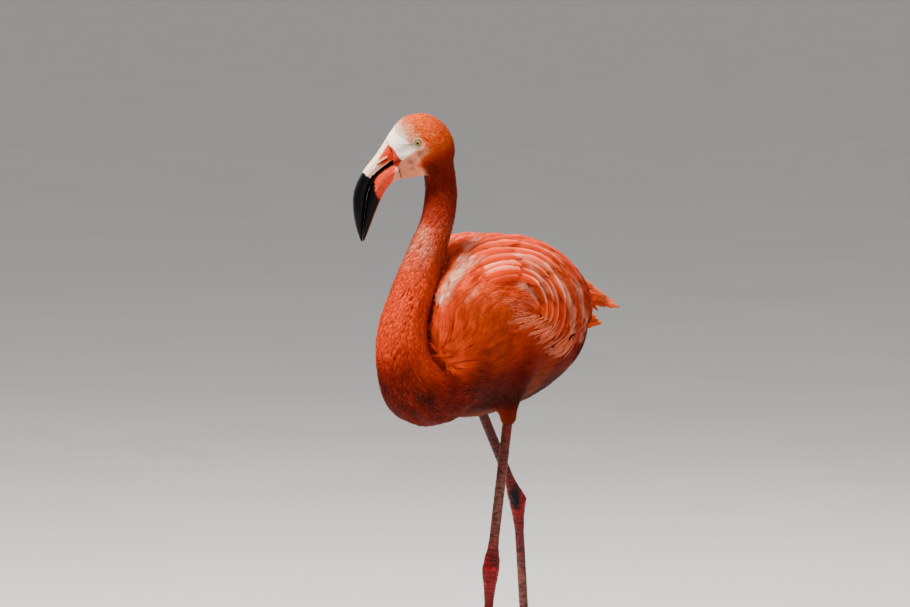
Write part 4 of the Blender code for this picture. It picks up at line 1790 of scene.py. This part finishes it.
    def lay_tail(self) -> None:
        """The tail's stiff feathers in a narrow fan with uneven ends, and small ones beside it."""
        rng = np.random.default_rng(SEED + 60)
        steps = Kind.LONG.value.rows
        share = np.linspace(0, 1, steps + 1)[:, None]
        paths, sides = [], []
        for layer, (lift, slope, low, high) in enumerate(TAIL_LAYERS):
            for k in range(-5, 6):
                turn = math.radians(0.7 * k + rng.uniform(-1.2, 1.2))
                way = np.array([math.sin(turn), math.cos(turn), slope + rng.uniform(-0.02, 0.02)])
                start = np.array(on_body(0.0028 * k, 0.158, 0.6125 + lift - 0.00022 * k * k))
                length = rng.uniform(low, high) - 0.0045 * abs(k)
                droop = share**3 * rng.uniform(0.002, 0.012)
                rooted = np.maximum(1 - share / 0.4, 0) ** 2 * max(lift - 0.010, 0) * 0.75
                paths.append(start + way * share * length - np.array(UP) * (droop + rooted))
                roll = math.radians(9 * k + 180 * (layer == 4))
                sides.append(np.tile([math.sin(roll), 0.0, math.cos(roll)], (steps + 1, 1)))
        for k in range(6):
            side = 1 if k % 2 else -1
            way = np.array([side * 0.42, 1.0, -0.30 + 0.08 * k])
            start = np.array(on_body(side * 0.040, 0.140, 0.592 - 0.004 * k))
            paths.append(start + way * share * (0.022 + 0.002 * k))
            sides.append(np.tile([side * 0.9, -0.2, 0.3], (steps + 1, 1)))
        wide = np.array([0.0165] * (len(paths) - 6) + [0.0070] * 6)
        plan = Patch("tail_feathers", Kind.LONG, wide, lift=0.0, proud=0.001, seed=61, rims=0.05,
                     tint_shift=(0.82, 0.090, 0.014), shift_share=0.7)
        self.plumage.lay_free(plan, np.array(paths), np.array(sides))

    def lay_small(self) -> None:
        """The small feathers all over."""
        body = self.body
        local = body.surface.points - np.array(BODY_ORIGIN)
        rows = HEAD.local(body.surface.points)
        eye = np.hypot(rows[:, 0] - HEAD.eye_forward, rows[:, 2] - HEAD.eye_up)
        bare = (rows[:, 0] > 0.012 + 0.6 * np.maximum(rows[:, 2], 0)) | (rows[:, 0] > 0.027)
        head = body.is_on("head") & ~bare & ((eye > 0.0075) | (np.abs(rows[:, 1]) < 0.012))
        front = local[:, 1] < 0.02
        for name, kind, mask in (
            ("coat_head", Kind.DOWN, head),
            ("coat_neck_upper", Kind.DOWN, body.is_on("neck_upper", "neck_middle")),
            ("coat_neck_lower", Kind.DOWN, body.is_on("neck_lower")),
            ("coat_breast", Kind.SILK, body.is_on("trunk") & front),
            ("coat_rump", Kind.SILK, body.is_on("trunk", "tail") & ~front & (local[:, 1] < 0.250)),
            ("coat_thighs", Kind.SILK, body.is_on(*THIGHS)),
            ("coat_wings", Kind.COVERT, body.is_on(*WINGS)),
        ):
            self.plumage.lay(Patch(name, kind, self.width, self.length, mask, self.spacing, seed=len(name)))


# ------------ the head


@dataclass
class HeadSkin:
    """The face's own shape in the skin: finer faces, eye sockets, the gape's fold and the lore's hollow."""

    front: float = -0.016  # the finer faces start here, along the head
    reach: float = 0.065  # how far from the head's middle the face goes
    aperture: float = 0.0036  # the open eye's half width
    rim: float = 0.0052  # where the lids' rim ends

    def refine(self, mesh: Mesh) -> None:
        """Gives the face finer faces and smooths them.

        Args:
            mesh: The skin's mesh, changed in place.
        """
        bm = bmesh.new()
        bm.from_mesh(mesh)
        rows = HEAD.local(np.array([vert.co for vert in bm.verts]))
        inside = (rows[:, 0] > self.front) & (np.abs(rows[:, 1]) < 0.04) & (np.abs(rows[:, 2]) < 0.05)
        inside &= rows[:, 0] < 0.06
        edges = [edge for edge in bm.edges if all(inside[vert.index] for vert in edge.verts)]
        bmesh.ops.subdivide_edges(bm, edges=edges, cuts=3, use_grid_fill=True)
        bm.verts.index_update()
        rows = HEAD.local(np.array([vert.co for vert in bm.verts]))
        inside = (rows[:, 0] > self.front + 0.001) & (norm(rows, axis=1) < self.reach)
        face = [vert for vert in bm.verts if inside[vert.index]]
        axes = {f"use_axis_{name}": True for name in "xyz"}
        for _ in range(7):
            bmesh.ops.smooth_vert(bm, verts=face, factor=0.5, **axes)
        bmesh.ops.triangulate(bm, faces=[poly for poly in bm.faces if len(poly.verts) > 4])
        bm.to_mesh(mesh)
        bm.free()

    def shape(self, mesh: Mesh) -> None:
        """Presses the sockets and folds into the refined face.

        Args:
            mesh: The skin's mesh, changed in place.
        """
        points = points_of(mesh)
        rows = HEAD.local(points)
        near = norm(rows, axis=1) < self.reach
        side, out = np.sign(rows[:, 1]), np.abs(rows[:, 1])
        far = np.hypot(rows[:, 0] - HEAD.eye_forward, (rows[:, 2] - HEAD.eye_up) * 1.06)
        socket = near & (far < 0.016) & (out > 0.010)
        ring = ramp(far, self.aperture, self.aperture + 0.0007)
        level = 0.0186 * (1 - ring) + (0.0223 - 0.10 * np.maximum(far - self.rim, 0)) * ring
        hold = socket * (1 - ramp(far, self.rim, 0.0098))
        out = out + (level - out) * hold
        groove = np.exp(-((far - 0.0066) / 0.0009) ** 2) * 0.0005
        flat = rows[:, ::2]
        lore = spot(flat, (0.021, 0.0035), (0.010, 0.005)) * 0.0016
        gape_line = rows[:, 2] - (-0.0042 - 0.10 * (rows[:, 0] - 0.036))
        gape = np.exp(-(gape_line / 0.0011) ** 2) * ramp(rows[:, 0], 0.022, 0.030) * 0.0010
        cheek = spot(flat, (-0.002, -0.013), (0.013, 0.009)) * 0.0008
        out = out - near * (out > 0.008) * (groove + lore + gape - cheek)
        rows[:, 1] = side * out
        axes = np.array([HEAD.forward, HEAD.out, HEAD.up])
        points = np.where(near[:, None], rows @ axes + np.array(HEAD.middle), points)
        mesh.vertices.foreach_set("co", points.astype(np.float32).ravel())
        mesh.update()


@dataclass(frozen=True)
class HornFinish:
    """The bill's horn: its own colours, fine streaks, and more gloss where it is black."""

    name: str = "bill_horn"

    def make(self, effects: Effects) -> Material:
        """Builds the material.

        Args:
            effects: The shared effects.

        Returns:
            The material.
        """
        s, shader, material = new_material(self.name, 0.4, Specular_IOR_Level=0.08, Coat_Roughness=0.2)
        black = s.value_of("black").outputs["Fac"]
        group = s.mottled(effects, s.value_of("tint").outputs["Color"], 260.0, 0.34)
        s.feed(shader.inputs["Base Color"], group.outputs["Colour"])
        s.feed(shader.inputs["Roughness"], s.minus(0.46, s.times(black, 0.20)))
        s.feed(shader.inputs["Coat Weight"], s.times(black, 0.05))
        add_bump(s, shader, group.outputs["Value"], 0.00025)
        return material


@dataclass
class Bill:
    """The bent bill: horn laid over the two halves, with nostrils, pale stripes and a black end."""

    voxel: float = 0.00075
    pale: Colour = (0.95, 0.66, 0.46)
    orange: Colour = (0.58, 0.024, 0.0015)
    rose: Colour = (0.80, 0.24, 0.12)
    black: Colour = (0.0015, 0.0015, 0.0018)
    slit: tuple[float, float] = (0.0516, 0.0000)  # the nostril's middle, along the head and up
    # the middle of the gap between the halves: along the head, up, half width
    gap: Rows = ((0.0375, -0.0050, 0.0128), (0.0500, -0.0073, 0.0124), (0.0660, -0.0130, 0.0118),
                 (0.0800, -0.0280, 0.0108), (0.0915, -0.0490, 0.0090), (0.1000, -0.0665, 0.0060),
                 (0.1040, -0.0760, 0.0024))

    def build(self, effects: Effects) -> list[Object]:
        """Makes both halves and the comb between them.

        Args:
            effects: The shared effects.

        Returns:
            The pieces.
        """
        material = HornFinish().make(effects)
        pieces = []
        for node in ("bill_upper", "bill_lower"):
            surface = Surface(*remeshed(welded_copy((node,), 0.0), self.voxel))
            surface.smooth(9)
            rows = HEAD.local(surface.points)
            self.carve(surface, rows, node)
            obj = new_object(node + "_horn", surface.mesh(node + "_horn"), material)
            colour, black = self.colours(HEAD.local(surface.points), node)
            put_tint(obj.data, colour)
            put_values(obj.data, "black", black[:, None])
            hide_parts(node)
            pieces.append(obj)
            log.info("%s: %d triangles", obj.name, 2 * len(obj.data.polygons))
        pieces.append(self.make_comb(effects))
        return pieces

    def make_comb(self, effects: Effects) -> Object:
        """The dark filtering comb that closes the gap between the two halves.

        Args:
            effects: The shared effects.

        Returns:
            The comb, thin and notched along both edges.
        """
        line = smooth_line(self.gap, 121)
        bm = bmesh.new()
        bmesh.ops.create_grid(bm, x_segments=6, y_segments=120, size=1.0)
        for vert in bm.verts:
            share = vert.co.y / 2 + 0.5
            row = line[round(share * 120)]
            tooth = 0.00025 * math.sin(share * 120 * math.pi / 1.5)
            out = vert.co.x * (row[2] * (0.84 if row[0] < 0.066 else 0.985) + tooth)
            vert.co = HEAD.place(row[0], out, row[1] - 0.0004 * vert.co.x**2)
        bmesh.ops.recalc_face_normals(bm, faces=bm.faces)
        bmesh.ops.solidify(bm, geom=bm.faces[:], thickness=0.0034)
        bmesh.ops.recalc_face_normals(bm, faces=bm.faces)
        return new_object("bill_comb", mesh_of(bm, "bill_comb"), COMB_HORN.make(effects))

    def slit_share(self, rows: Array, wide: float) -> Array:
        """How much each point lies in the nostril's slit.

        Args:
            rows: Points along the head, out and up.
            wide: The slit's half width.

        Returns:
            A share for each point.
        """
        ahead, up = rows[:, 0] - self.slit[0], rows[:, 2] - self.slit[1]
        along = ahead * 0.973 - up * 0.232
        across = ahead * 0.232 + up * 0.973
        return np.exp(-(across / wide) ** 2) * (1 - ramp(np.abs(along), 0.0060, 0.0085))

    def carve(self, surface: Surface, rows: Array, node: str) -> None:
        """Sinks the nostrils and the bill's long furrows.

        Args:
            surface: The half's surface, changed in place.
            rows: Its points along the head, out and up.
            node: Which half.
        """
        depth = np.zeros(len(rows))
        on_side = ramp(np.abs(surface.normals @ np.array(HEAD.out)), 0.25, 0.6)
        if node == "bill_upper":
            depth += self.slit_share(rows, 0.00085) * 0.0014 * on_side
            depth -= self.slit_share(rows + np.array([0, 0, -0.0022]), 0.0011) * 0.0005 * on_side
        furrow = np.sin((rows[:, 2] * 0.9 + rows[:, 0] * 0.42) * 2 * math.pi / 0.0046)
        depth += furrow * 0.00014 * on_side * (1 - ramp(rows[:, 0], 0.070, 0.080))
        surface.points = surface.points - surface.normals * depth[:, None]
        surface.refresh()

    def colours(self, rows: Array, node: str) -> tuple[Array, Array]:
        """The horn's colours.

        Args:
            rows: Points along the head, out and up.
            node: Which half.

        Returns:
            Rows of colour, and how black each point is.
        """
        ahead, out, up = rows.T
        ragged = waves(rows, 0.006, 12) * 0.0012 + waves(rows, 0.0022, 18) * 0.0011
        edge = 0.0700 + np.maximum(up + 0.016, 0) * 0.62 + ragged
        black = ramp(ahead - edge, -0.0009, 0.0009)
        colour = np.tile(np.array(self.pale), (len(rows), 1))
        if node == "bill_upper":
            below = 0.0225 - (ahead - 0.0395) * 0.72 - up  # how far under the ridge
            side = ramp(below, 0.0045, 0.0085)
            fade = 1 - 0.72 * ramp(ahead, 0.0500, 0.0640)
            colour = mix(colour, self.orange, side * ramp(ahead, 0.0345, 0.0375) * fade)
            over = up - np.interp(ahead, (0.036, 0.050, 0.066, 0.080), (-0.0047, -0.0073, -0.0130, -0.0280))
            colour = mix(colour, self.pale, ramp(-over, -0.0042, -0.0030) * 0.95)
            brow = np.interp(ahead, (0.044, 0.0581, 0.0640, 0.070), (0.0038, 0.0006, -0.0040, -0.0125))
            brow = np.exp(-((up - brow) / 0.0008) ** 2) * ramp(ahead, 0.043, 0.045)
            colour = mix(colour, (0.95, 0.74, 0.52), brow * 0.95)
            colour = mix(colour, (0.03, 0.010, 0.008), self.slit_share(rows, 0.0007) * 0.95)
            colour = mix(colour, self.pale, ramp(-np.abs(out), -0.0045, -0.0015) * 0.5)
        else:
            colour = mix(colour, self.orange, ramp(ahead + up * 0.35, 0.030, 0.038) * 0.97)
            colour = mix(colour, self.rose, 0.05 * ramp(np.sin(up * 1500 + ahead * 700), 0.3, 1.0))
            skin = ramp(jaw_line(up) - ahead, -0.0008, 0.0008)
            colour = mix(colour, (0.60, 0.20, 0.11), skin)
            edge = np.exp(-((jaw_line(up) - ahead - 0.001) / 0.0008) ** 2)
            colour = mix(colour, (0.62, 0.42, 0.26), edge * 0.7)
        middle = np.interp(ahead, [row[0] for row in self.gap], [row[1] for row in self.gap])
        lips = 1 - ramp(np.abs(up - middle), 0.0012, 0.0032)
        return mix(colour, self.black, black), black * (1 - 3 * lips)


@dataclass(frozen=True)
class IrisFinish:
    """The eye: a pale yellow iris with fine rays, a dark pupil and rim, all under clear gloss."""

    name: str
    iris: float = 0.0033
    pupil: float = 0.00180

    def make(self) -> Material:
        """Builds the material.

        Returns:
            The material.
        """
        s, shader, material = new_material(self.name, 0.15, Specular_IOR_Level=0.3, Coat_Weight=0.35,
                                           Coat_Roughness=0.03)
        split = s.node("SeparateXYZ")
        s.feed(split.inputs[0], s.value_of("eye").outputs["Vector"])
        x, y, _ = split.outputs
        far = s.sum("SQRT", s.plus(s.times(x, x), s.times(y, y)))
        rays = s.sum("SINE", s.times(s.sum("ARCTAN2", x, y), 34.0))
        gold = s.blend(s.step(rays, -1.0, 1.0), (0.50, 0.36, 0.035), (0.80, 0.66, 0.14))
        gold = s.blend(s.step(far, self.pupil * 1.2, self.pupil * 2.1), (0.40, 0.24, 0.04), gold)
        dark = s.blend(s.step(far, self.iris * 0.90, self.iris * 1.02), gold, (0.035, 0.030, 0.022))
        whole = s.blend(s.step(far, self.pupil * 0.92, self.pupil * 1.08), (0.003, 0.003, 0.003), dark)
        s.feed(shader.inputs["Base Color"], whole)
        return material


@dataclass
class Eye:
    """One eye and its two lids."""

    side: str
    radius: float = 0.0057
    lid_radius: float = 0.0037
    lid_thick: float = 0.00062

    def axes(self) -> Matrix:
        """The eye's own axes.

        Returns:
            A turn that takes +Z to the way the eye looks and +Y upwards, with the eye's place.
        """
        out = HEAD.out * SIDES[self.side]
        look = (out + HEAD.forward * 0.10).normalized()
        up = (HEAD.up - look * HEAD.up.dot(look)).normalized()
        turn = Matrix((up.cross(look), up, look)).transposed().to_4x4()
        return Matrix.Translation(HEAD.eyes[self.side]) @ turn

    def build(self, effects: Effects) -> list[Object]:
        """Makes the ball and the lids."""
        return [self.make_ball(), self.make_lids(effects)]

    def make_ball(self) -> Object:
        """The ball, a little fuller where the clear front is.

        Returns:
            The ball.
        """
        bm = bmesh.new()
        bmesh.ops.create_uvsphere(bm, u_segments=48, v_segments=28, radius=self.radius)
        for vert in bm.verts:
            far = math.hypot(vert.co.x, vert.co.y)
            if vert.co.z > 0:
                vert.co.z += 0.00035 * max(0.0, 1 - (far / 0.0034) ** 2)
        flat = np.array([vert.co for vert in bm.verts])
        bmesh.ops.transform(bm, matrix=self.axes(), verts=bm.verts)
        mesh = mesh_of(bm, f"eyeball_{self.side}")
        mesh.shade_smooth()
        put_values(mesh, "eye", flat)
        obj = new_object(mesh.name, mesh, IrisFinish(f"iris_{self.side}").make())
        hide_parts(f"eye_{self.side}")
        return obj

    def make_lids(self, effects: Effects) -> Object:
        """A soft ring, slightly pointed at the front and back, spun about the eye's line of sight.

        Args:
            effects: The shared effects.

        Returns:
            The lids.
        """
        bm = bmesh.new()
        ring = bmesh.ops.create_circle(bm, segments=12, radius=self.lid_thick)["verts"]
        bmesh.ops.rotate(bm, verts=ring, cent=(0, 0, 0), matrix=Matrix.Rotation(math.pi / 2, 3, "X"))
        bmesh.ops.translate(bm, verts=ring, vec=(self.lid_radius, 0, 0))
        bmesh.ops.spin(bm, geom=bm.verts[:] + bm.edges[:], cent=(0, 0, 0), axis=(0, 0, 1),
                       angle=2 * math.pi, steps=56, use_merge=True, use_duplicate=False)
        bmesh.ops.remove_doubles(bm, verts=bm.verts, dist=1e-6)
        bmesh.ops.recalc_face_normals(bm, faces=bm.faces)
        for vert in bm.verts:
            turn = math.atan2(vert.co.y, vert.co.x)
            corner = abs(math.cos(turn)) ** 6
            vert.co.x *= 1 + 0.13 * corner
            vert.co.y *= 0.97 if vert.co.y > 0 else 0.93
            far = math.hypot(vert.co.x, vert.co.y)
            vert.co.z = vert.co.z * 0.8 + math.sqrt(max(self.radius**2 - far**2, 0)) + 0.00025
            vert.co.z += 0.00006 * math.sin(turn * 19)
        bmesh.ops.transform(bm, matrix=self.axes(), verts=bm.verts)
        mesh = mesh_of(bm, f"lids_{self.side}")
        mesh.shade_smooth()
        finish = GrainFinish(mesh.name, 0.5, 0.3, 900.0, 0.5, 0.0003, (0.13, 0.105, 0.05))
        return new_object(mesh.name, mesh, finish.make(effects))


# ------------ legs and feet


@dataclass(frozen=True)
class LegFinish:
    """Scaled skin: its own colours, parted into scutes by a map that follows the limb."""

    name: str
    scale: float = 1.0

    def make(self, effects: Effects) -> Material:
        """Builds the material.

        Args:
            effects: The shared effects.

        Returns:
            The material.
        """
        s, shader, material = new_material(self.name, 0.40, Specular_IOR_Level=0.14)
        scutes = s.node("Group", node_tree=effects.scutes)
        s.feed(scutes.inputs["Map"], s.value_of("limb").outputs["Vector"])
        scutes.inputs["Scale"].default_value = self.scale
        mottle = s.mottled(effects, s.value_of("tint").outputs["Color"], 190.0, 0.7)
        groove = scutes.outputs["Groove"]
        tone = s.plus(s.times(scutes.outputs["Scale value"], 0.35), 0.80)
        gain = s.times(tone, s.plus(s.times(groove, 0.62), 0.38))
        s.feed(shader.inputs["Base Color"], s.scaled(mottle.outputs["Colour"], gain))
        s.feed(shader.inputs["Roughness"], s.minus(0.60, s.times(groove, 0.24)))
        add_bump(s, shader, groove, 0.0004, 0.8)
        return material


@dataclass(frozen=True)
class LegColours:
    """A leg's colours from the knee to the web, and how its markings lie."""

    top: Colour
    shin: Colour
    ankle: Colour
    shank: Colour
    patch: Colour
    dark: Colour
    low: Colour
    ring: Colour  # the dusty shank below a sharp line
    ring_top: float  # that line's height
    knob: float  # how dark the ankle's knobs are
    dark_spot: float  # how dark the ankle's one large spot is
    web: Colour = (0.24, 0.065, 0.055)


@dataclass
class Leg:
    """One bare leg and webbed foot: plates in front, small scales behind, a knobbly ankle, grained webs."""

    side: str
    knee: Vector
    ankle: Vector
    joint: Vector
    colours: LegColours
    voxel: float = 0.00085
    plate: float = 0.0042
    plate_depth: float = 0.00030
    toe_plate: float = 0.0030
    tucked: float = 0.016  # how much further the bare shin runs on inside the feathered thigh

    def build(self, effects: Effects) -> list[Object]:
        """Makes the leg in one piece.

        Args:
            effects: The shared effects.

        Returns:
            The leg.
        """
        nodes = [f"{name}_{self.side}" for name in LEG_NODES]
        surface = Surface(*remeshed(welded_copy(nodes, 0.00035), self.voxel))
        high = surface.points[:, 2].max()
        end = ramp(surface.points[:, 2], high - 0.010, high - 0.003)[:, None]
        upwards = np.array((self.knee - self.ankle).normalized())
        surface.points = surface.points + end * upwards * self.tucked
        low = surface.points[:, 2].min()
        surface.smooth(10, ramp(surface.points[:, 2], 0.003, 0.008)[:, None])
        limb, along, front = self.limb_map(surface.points, surface.normals)
        self.shape(surface, along, front)
        surface.points[:, 2] = np.maximum(surface.points[:, 2], max(low, 0.0))
        obj = new_object(f"leg_{self.side}", surface.mesh(f"leg_{self.side}"),
                         LegFinish(f"leg_scales_{self.side}").make(effects))
        put_tint(obj.data, self.tint(surface.points, along))
        put_values(obj.data, "limb", limb)
        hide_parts(*nodes)
        log.info("%s: %d triangles", obj.name, 2 * len(obj.data.polygons))
        return [obj]

    def limb_map(self, points: Array, normals: Array) -> tuple[Array, Array, Array]:
        """Lays the limb out flat.

        Args:
            points: The surface's points.
            normals: Its directions.

        Returns:
            The place in the scales' pattern, metres down from the knee, and how far it faces forward.
        """
        along = np.full(len(points), 0.0)
        best = np.full(len(points), np.inf)
        start = 0.0
        for first, last in ((self.knee, self.ankle), (self.ankle, self.joint)):
            a, b = np.array(first), np.array(last)
            length = norm(b - a)
            share = np.clip((points - a) @ (b - a) / length**2, 0, 1)
            far = norm(points - (a + share[:, None] * (b - a)), axis=1)
            closer = far < best
            along[closer] = start + share[closer] * length
            best[closer] = far[closer]
            start += length
        front = -normals[:, 1]
        turn = np.arctan2(normals[:, 0], front)
        foot = self.on_foot(points)
        flat = norm((points - np.array(self.joint))[:, :2], axis=1)
        across = np.where(foot, points[:, 0] * 330, turn * 1.5)
        down = np.where(foot, flat / self.toe_plate * 0.8, along / self.plate)
        wide = np.where((front > 0.35) & ~foot, 0.12, 1.0)
        return np.column_stack([across * wide, down, np.where(wide < 0.5, 7.0, 0.0)]), along, front

    def on_foot(self, points: Array) -> Array:
        """Marks the points of the foot."""
        away = norm((points - np.array(self.joint))[:, :2], axis=1)
        return (points[:, 2] < self.joint.z + 0.006) & (away > 0.0095)

    def shape(self, surface: Surface, along: Array, front: Array) -> None:
        """Raises the plates, wrinkles the ankle and grains the webs.

        Args:
            surface: The leg's surface, changed in place.
            along: Metres down from the knee, for each point.
            front: How far each point faces the front.
        """
        points = surface.points
        foot = self.on_foot(points)
        clear = ramp(points[:, 2], 0.0016, 0.0030)
        from_joint = norm((points - np.array(self.joint))[:, :2], axis=1)
        cycle = np.where(foot, from_joint / self.toe_plate, along / self.plate)
        groove = np.abs(np.sin(cycle * math.pi)) ** 0.35
        top = np.where(foot, ramp(surface.normals[:, 2], 0.2, 0.7), ramp(front, 0.15, 0.55))
        away = norm(points - np.array(self.ankle), axis=1)
        ankle = np.exp(-((away / 0.030) ** 2))
        depth = (1 - groove) * self.plate_depth * top * np.where(foot, 0.7, 1.0)
        depth -= np.exp(-((along / 0.035) ** 2)) * 0.0014
        depth += waves(points, 0.0050, 31) * 0.00045 * ankle + waves(points, 0.0022, 32) * 0.00010
        surface.points = points - surface.normals * (depth * clear)[:, None]
        surface.refresh()

    def tint(self, points: Array, along: Array) -> Array:
        """The leg's colours from the knee to the web.

        Args:
            points: The surface's points.
            along: Metres down from the knee, for each.

        Returns:
            Rows of red, green and blue.
        """
        colours = self.colours
        shin = (self.ankle - self.knee).length
        ankle = np.exp(-(((along - shin) / 0.036) ** 2))
        knobs = ankle * ramp(waves(points, 0.016, 42), 0.35, 0.7)
        place = np.array(self.ankle) + np.array((0.003, -0.012, 0.004))
        dark_spot = spot(points, place, (0.0085, 0.009, 0.024))
        ring = ramp(-points[:, 2], -colours.ring_top - 0.004, -colours.ring_top + 0.004)
        specks = ramp(waves(points, 0.0040, 44), 0.40, 0.75) * (1 - ankle)
        far = norm((points - np.array(self.joint))[:, :2], axis=1)
        web = ramp(far, 0.012, 0.030) * self.on_foot(points)
        tint = np.tile(np.array(colours.shin), (len(points), 1))
        for colour, share in (
            (colours.top, ramp(-along, -0.215, -0.165)),
            (colours.shank, ramp(along, shin, shin + 0.05)),
            (colours.patch, ramp(waves(points, 0.030, 41), 0.2, 0.7) * 0.55),
            (colours.ankle, ankle * 0.95),
            (colours.dark, knobs * colours.knob),
            (colours.dark, ramp(dark_spot, 0.15, 0.75) * colours.dark_spot),
            (colours.ring, ring * 0.8),
            (colours.dark, specks * 0.45),
            (colours.low, ramp(-points[:, 2], -0.20, -0.06) * 0.7),
            (colours.web, web * (0.55 + 0.25 * waves(points, 0.012, 43))),
        ):
            tint = mix(tint, colour, share)
        return tint


# ------------ the bird


def make_skin(body: Body, effects: Effects) -> Object:
    """The one skin under the coat, from the face to the thighs.

    Args:
        body: The coat's outer surface and depth.
        effects: The shared effects.

    Returns:
        The skin.
    """
    mesh = body.surface.mesh("skin", body.depth)
    face = HeadSkin()
    face.refine(mesh)
    face.shape(mesh)
    mesh.shade_smooth()
    skin = new_object("skin", mesh, UNDER_COAT.make(effects))
    points = points_of(mesh)
    label = body.label[[body.search.find(point)[1] for point in points]]
    tint = plumage_tint(points, label)
    shade = np.where(label == FLESH.index("head"), 1.0, 0.7)[:, None]
    put_tint(mesh, tint[:, :3] * shade)
    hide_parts(*FLESH)
    log.info("skin: %d faces", len(mesh.polygons))
    return skin


def make_legs() -> list[Leg]:
    """Sets out the two legs.

    Returns:
        Them, the left one first, with their own places and colours.
    """
    left = LegColours(
        top=(0.15, 0.014, 0.010), shin=(0.17, 0.056, 0.040), ankle=(0.24, 0.0012, 0.0060),
        shank=(0.15, 0.0022, 0.0050), patch=(0.11, 0.028, 0.020), dark=(0.03, 0.003, 0.004),
        low=(0.28, 0.045, 0.034), ring=(0.30, 0.05, 0.04), ring_top=0.12, knob=0.60, dark_spot=0.0)
    # the right leg's top and shin are laid nearly black as painted shade
    right = LegColours(
        top=(0.07, 0.005, 0.005), shin=(0.07, 0.007, 0.006), ankle=(0.23, 0.0012, 0.0060),
        shank=(0.15, 0.026, 0.030), patch=(0.13, 0.034, 0.034), dark=(0.0010, 0.0004, 0.0005),
        low=(0.36, 0.11, 0.07), ring=(0.17, 0.060, 0.040), ring_top=0.286, knob=0.2, dark_spot=1.0)
    return [
        Leg(side, *(on_body(*place) for place in line), colours)
        for side, line, colours in zip(SIDES, LEG_LINES, (left, right))
    ]


def settle(pieces: Sequence[Object]) -> None:
    """Puts pieces on the bird's one body.

    Args:
        pieces: The pieces.
    """
    for piece in pieces:
        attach(piece, "root")


def main() -> None:
    """Builds the bird and its studio."""
    effects = Effects()
    Studio().build()
    body = Body()
    settle([make_skin(body, effects)])
    settle(Coat(body, effects).build())
    settle(Bill().build(effects))
    for side in SIDES:
        settle(Eye(side).build(effects))
    for leg in make_legs():
        settle(leg.build(effects))
    claw = CLAW_HORN.make(effects)
    for node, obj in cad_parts.items():
        if node.startswith("claw_"):
            for slot in obj.material_slots:
                slot.link = "OBJECT"
                slot.material = claw


if __name__ == "__main__":
    logging.basicConfig(level=logging.INFO, format="%(name)s: %(message)s", stream=sys.stdout)
    main()
